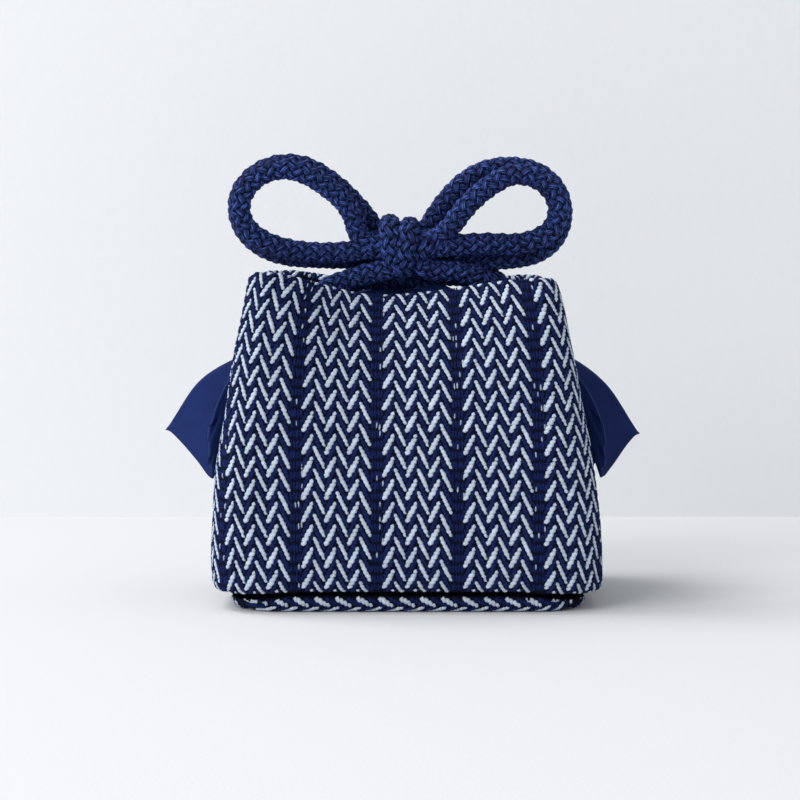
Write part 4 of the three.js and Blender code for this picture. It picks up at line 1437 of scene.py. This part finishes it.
def ear_mesh(name, ear):
    """An ear from its ridge and its front edge, mirrored to the back."""
    tip, hem = np.array(ear["tip"], float), np.array(ear["hem"], float)
    inner, outer = NECK["inner"] - ear["lean"], NECK["outer"] - ear["lean"]
    over = np.array([outer, 0, NECK["over"]])
    swell = np.array([ear["swell"], 0, ear["swell"] + 0.9])
    ridge = [(inner, 0, NECK["inside"]), over + (0, 0, 0.5),
             over + 0.47 * (tip - over) + swell, tip + (0, 0.4, 0)]
    drop = np.array([-0.4, 0, -1.0]) * ear["notch"]
    shoulder = np.array(EAR_SHOULDER) - (0.5 * ear["lean"], 0, 0)
    edge = [(inner, NECK["width"], NECK["inside"] - 1.5),
            (outer - 0.5, NECK["width"], NECK["over"] - 1.5), shoulder,
            hem + (0.8, -1.5, 7), hem, hem + 0.35 * (tip - hem) + drop,
            hem + 0.7 * (tip - hem) + 0.3 * drop, tip + (0, 0.9, 0)]
    along, across = np.linspace(0, 1, 72), np.linspace(-1, 1, 49)
    ridge, edge = curve_at(ridge, along)[:, None], curve_at(edge, along)[:, None]
    share = np.abs(across)[None, :, None]
    surface = ridge + (edge - ridge) * share
    fall = (EAR_VALLEY * np.sin(np.pi * np.abs(across))[None, :]
            * np.sin(np.pi * along)[:, None])
    surface[..., 0] -= fall
    surface[..., 2] -= 0.4 * fall
    ripple = np.sin(5 * along[:, None] + 7 * across) * np.sin(np.pi * along)[:, None]
    surface[..., 0] += EAR_RIPPLE * ripple
    surface *= (ear["side"], 1, 1)
    surface[..., 1] *= np.where(across < 0, -1, 1)[None, :]
    normal = unit(np.cross(np.gradient(surface, axis=0), np.gradient(surface, axis=1)))
    normal *= np.where(normal[..., 2] + 0.5 * ear["side"] * normal[..., 0] < 0, -1, 1)[..., None]
    under = surface - normal * EAR_CLOTH
    if ear["side"] > 0:
        surface, under = surface[:, ::-1], under[:, ::-1]
    return charted_sheet(name, surface, under)


ears = {side: ear_mesh(f"ear_{side}_cloth", ear) for side, ear in EARS.items()}
for piece in ears.values():
    mesh = bmesh.new()
    mesh.from_mesh(piece.data)
    bmesh.ops.recalc_face_normals(mesh, faces=mesh.faces)
    mesh.to_mesh(piece.data)
    mesh.free()
    dress(piece, navy)
    print(piece.name, triangles(piece), "triangles")

# %% [markdown]
# ## Stage
#
# The pouch stands on a pale table with a pale wall behind it, both with a faint grain. A wall
# would hide the back of the pouch from some sides and keep light from it, so its material lets
# all light through, and shows only to the camera and only from the front.

# %% Stage
def stage_material(name, colour, scale, bump, camera_only=False):
    """A matt painted surface. camera_only makes it clear to light and from behind."""
    material = bpy.data.materials.new(name)
    material.use_nodes = True
    tree = material.node_tree
    shader = tree.nodes["Principled BSDF"]
    shader.inputs["Base Color"].default_value = colour
    shader.inputs["Roughness"].default_value = 0.9
    shader.inputs["Specular IOR Level"].default_value = 0.1
    place = add_node(tree, "ShaderNodeTexCoord").outputs["Object"]
    grain = add_node(tree, "ShaderNodeTexNoise", {"Vector": place, "Scale": scale, "Detail": 2.0})
    bumpy(tree, shader, grain.outputs["Fac"], bump, 0.5 * MM)
    if camera_only:
        seen = add_node(tree, "ShaderNodeLightPath").outputs["Is Camera Ray"]
        front = calc(tree, "SUBTRACT", 1.0,
                     add_node(tree, "ShaderNodeNewGeometry").outputs["Backfacing"])
        mixed = add_node(tree, "ShaderNodeMixShader", {
            0: calc(tree, "MULTIPLY", seen, front),
            1: add_node(tree, "ShaderNodeBsdfTransparent").outputs[0],
            2: shader.outputs[0]})
        tree.links.new(mixed.outputs[0], tree.nodes["Material Output"].inputs["Surface"])
    return material


def stage_face(name, corners, material):
    """One large rectangle of the stage."""
    face = mesh_object(name, corners, faces=[(0, 1, 2, 3)], smooth=False)
    dress(face, material)
    return face


HALF = 3.0  # metres, half the width of table and wall
WALL_PLACE = 200 * MM
WALL_HEIGHT = 2.0
table_paint = stage_material("table", screen_colour(238, 238, 239), 900.0, 0.12)
wall_paint = stage_material("wall", screen_colour(240, 241, 243), 330.0, 0.3, camera_only=True)
floor = stage_face("floor", [(-HALF, -HALF, 0), (HALF, -HALF, 0),
                             (HALF, HALF, 0), (-HALF, HALF, 0)], table_paint)
backdrop = stage_face("backdrop", [
    (-HALF, WALL_PLACE, 0), (HALF, WALL_PLACE, 0),
    (HALF, WALL_PLACE, WALL_HEIGHT), (-HALF, WALL_PLACE, WALL_HEIGHT)], wall_paint)
print("stage:", floor.name, "and", backdrop.name)

# %% [markdown]
# ## Light
#
# One large lamp stands high at the left, as a window would, and a second one further round to the
# front stands for the light that a pale room sends back. Both are large, so that the shadow has a
# soft edge, and a pale sky fills it.

# %% Light
SKY = (0.93, 0.96, 1.0, 1)
SKY_STRENGTH = 0.51


def lamp(name, place, size, power):
    """A square lamp that faces the middle of the pouch. Place and size are metres, power watts."""
    data = bpy.data.lights.new(name, "AREA")
    data.size = size
    data.energy = power
    light = bpy.data.objects.new(name, data)
    light.location = place
    away = Vector((0, 0, 60 * MM)) - light.location
    light.rotation_euler = away.to_track_quat("-Z", "Y").to_euler()
    bpy.context.collection.objects.link(light)


lamp("window", (-0.95, 0.15, 1.40), 0.9, 13.2)
lamp("room", (-1.20, -1.30, 1.00), 1.2, 19.6)
world = bpy.data.worlds.new("pale_sky")
world.use_nodes = True
sky = world.node_tree.nodes["Background"].inputs
sky["Color"].default_value = SKY
sky["Strength"].default_value = SKY_STRENGTH
bpy.context.scene.world = world
bpy.context.scene.view_settings.view_transform = "Standard"

# %% [markdown]
# ## Attaching the pieces to the pouch
#
# Every piece rides on the one body of the pouch, and the CAD solids that the cords and cloths
# stand for are hidden.

bpy.data.objects.remove(LUMP)


def place_piece(piece, slot, *nodes):
    """Lets a piece ride on the pouch and hides the CAD nodes it stands for. slot is not used."""
    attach(piece, "root")
    if nodes:
        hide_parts(*nodes)


for name, cord in cords.items():
    place_piece(cord, "navy_cord", name)
    path = paths[name]
place_piece(knot, "navy_cord", "bow_knot")
for panel, piece in {**panels, "base": base}.items():
    place_piece(piece, "herringbone_cloth", panel + "_panel")
for piece in weave.values():
    place_piece(piece, "herringbone_cloth")
place_piece(lining, "pale_lining", "lining")
place_piece(collar, "navy_cloth", "collar")
for side, piece in ears.items():
    place_piece(piece, "navy_cloth", "ear_" + side)
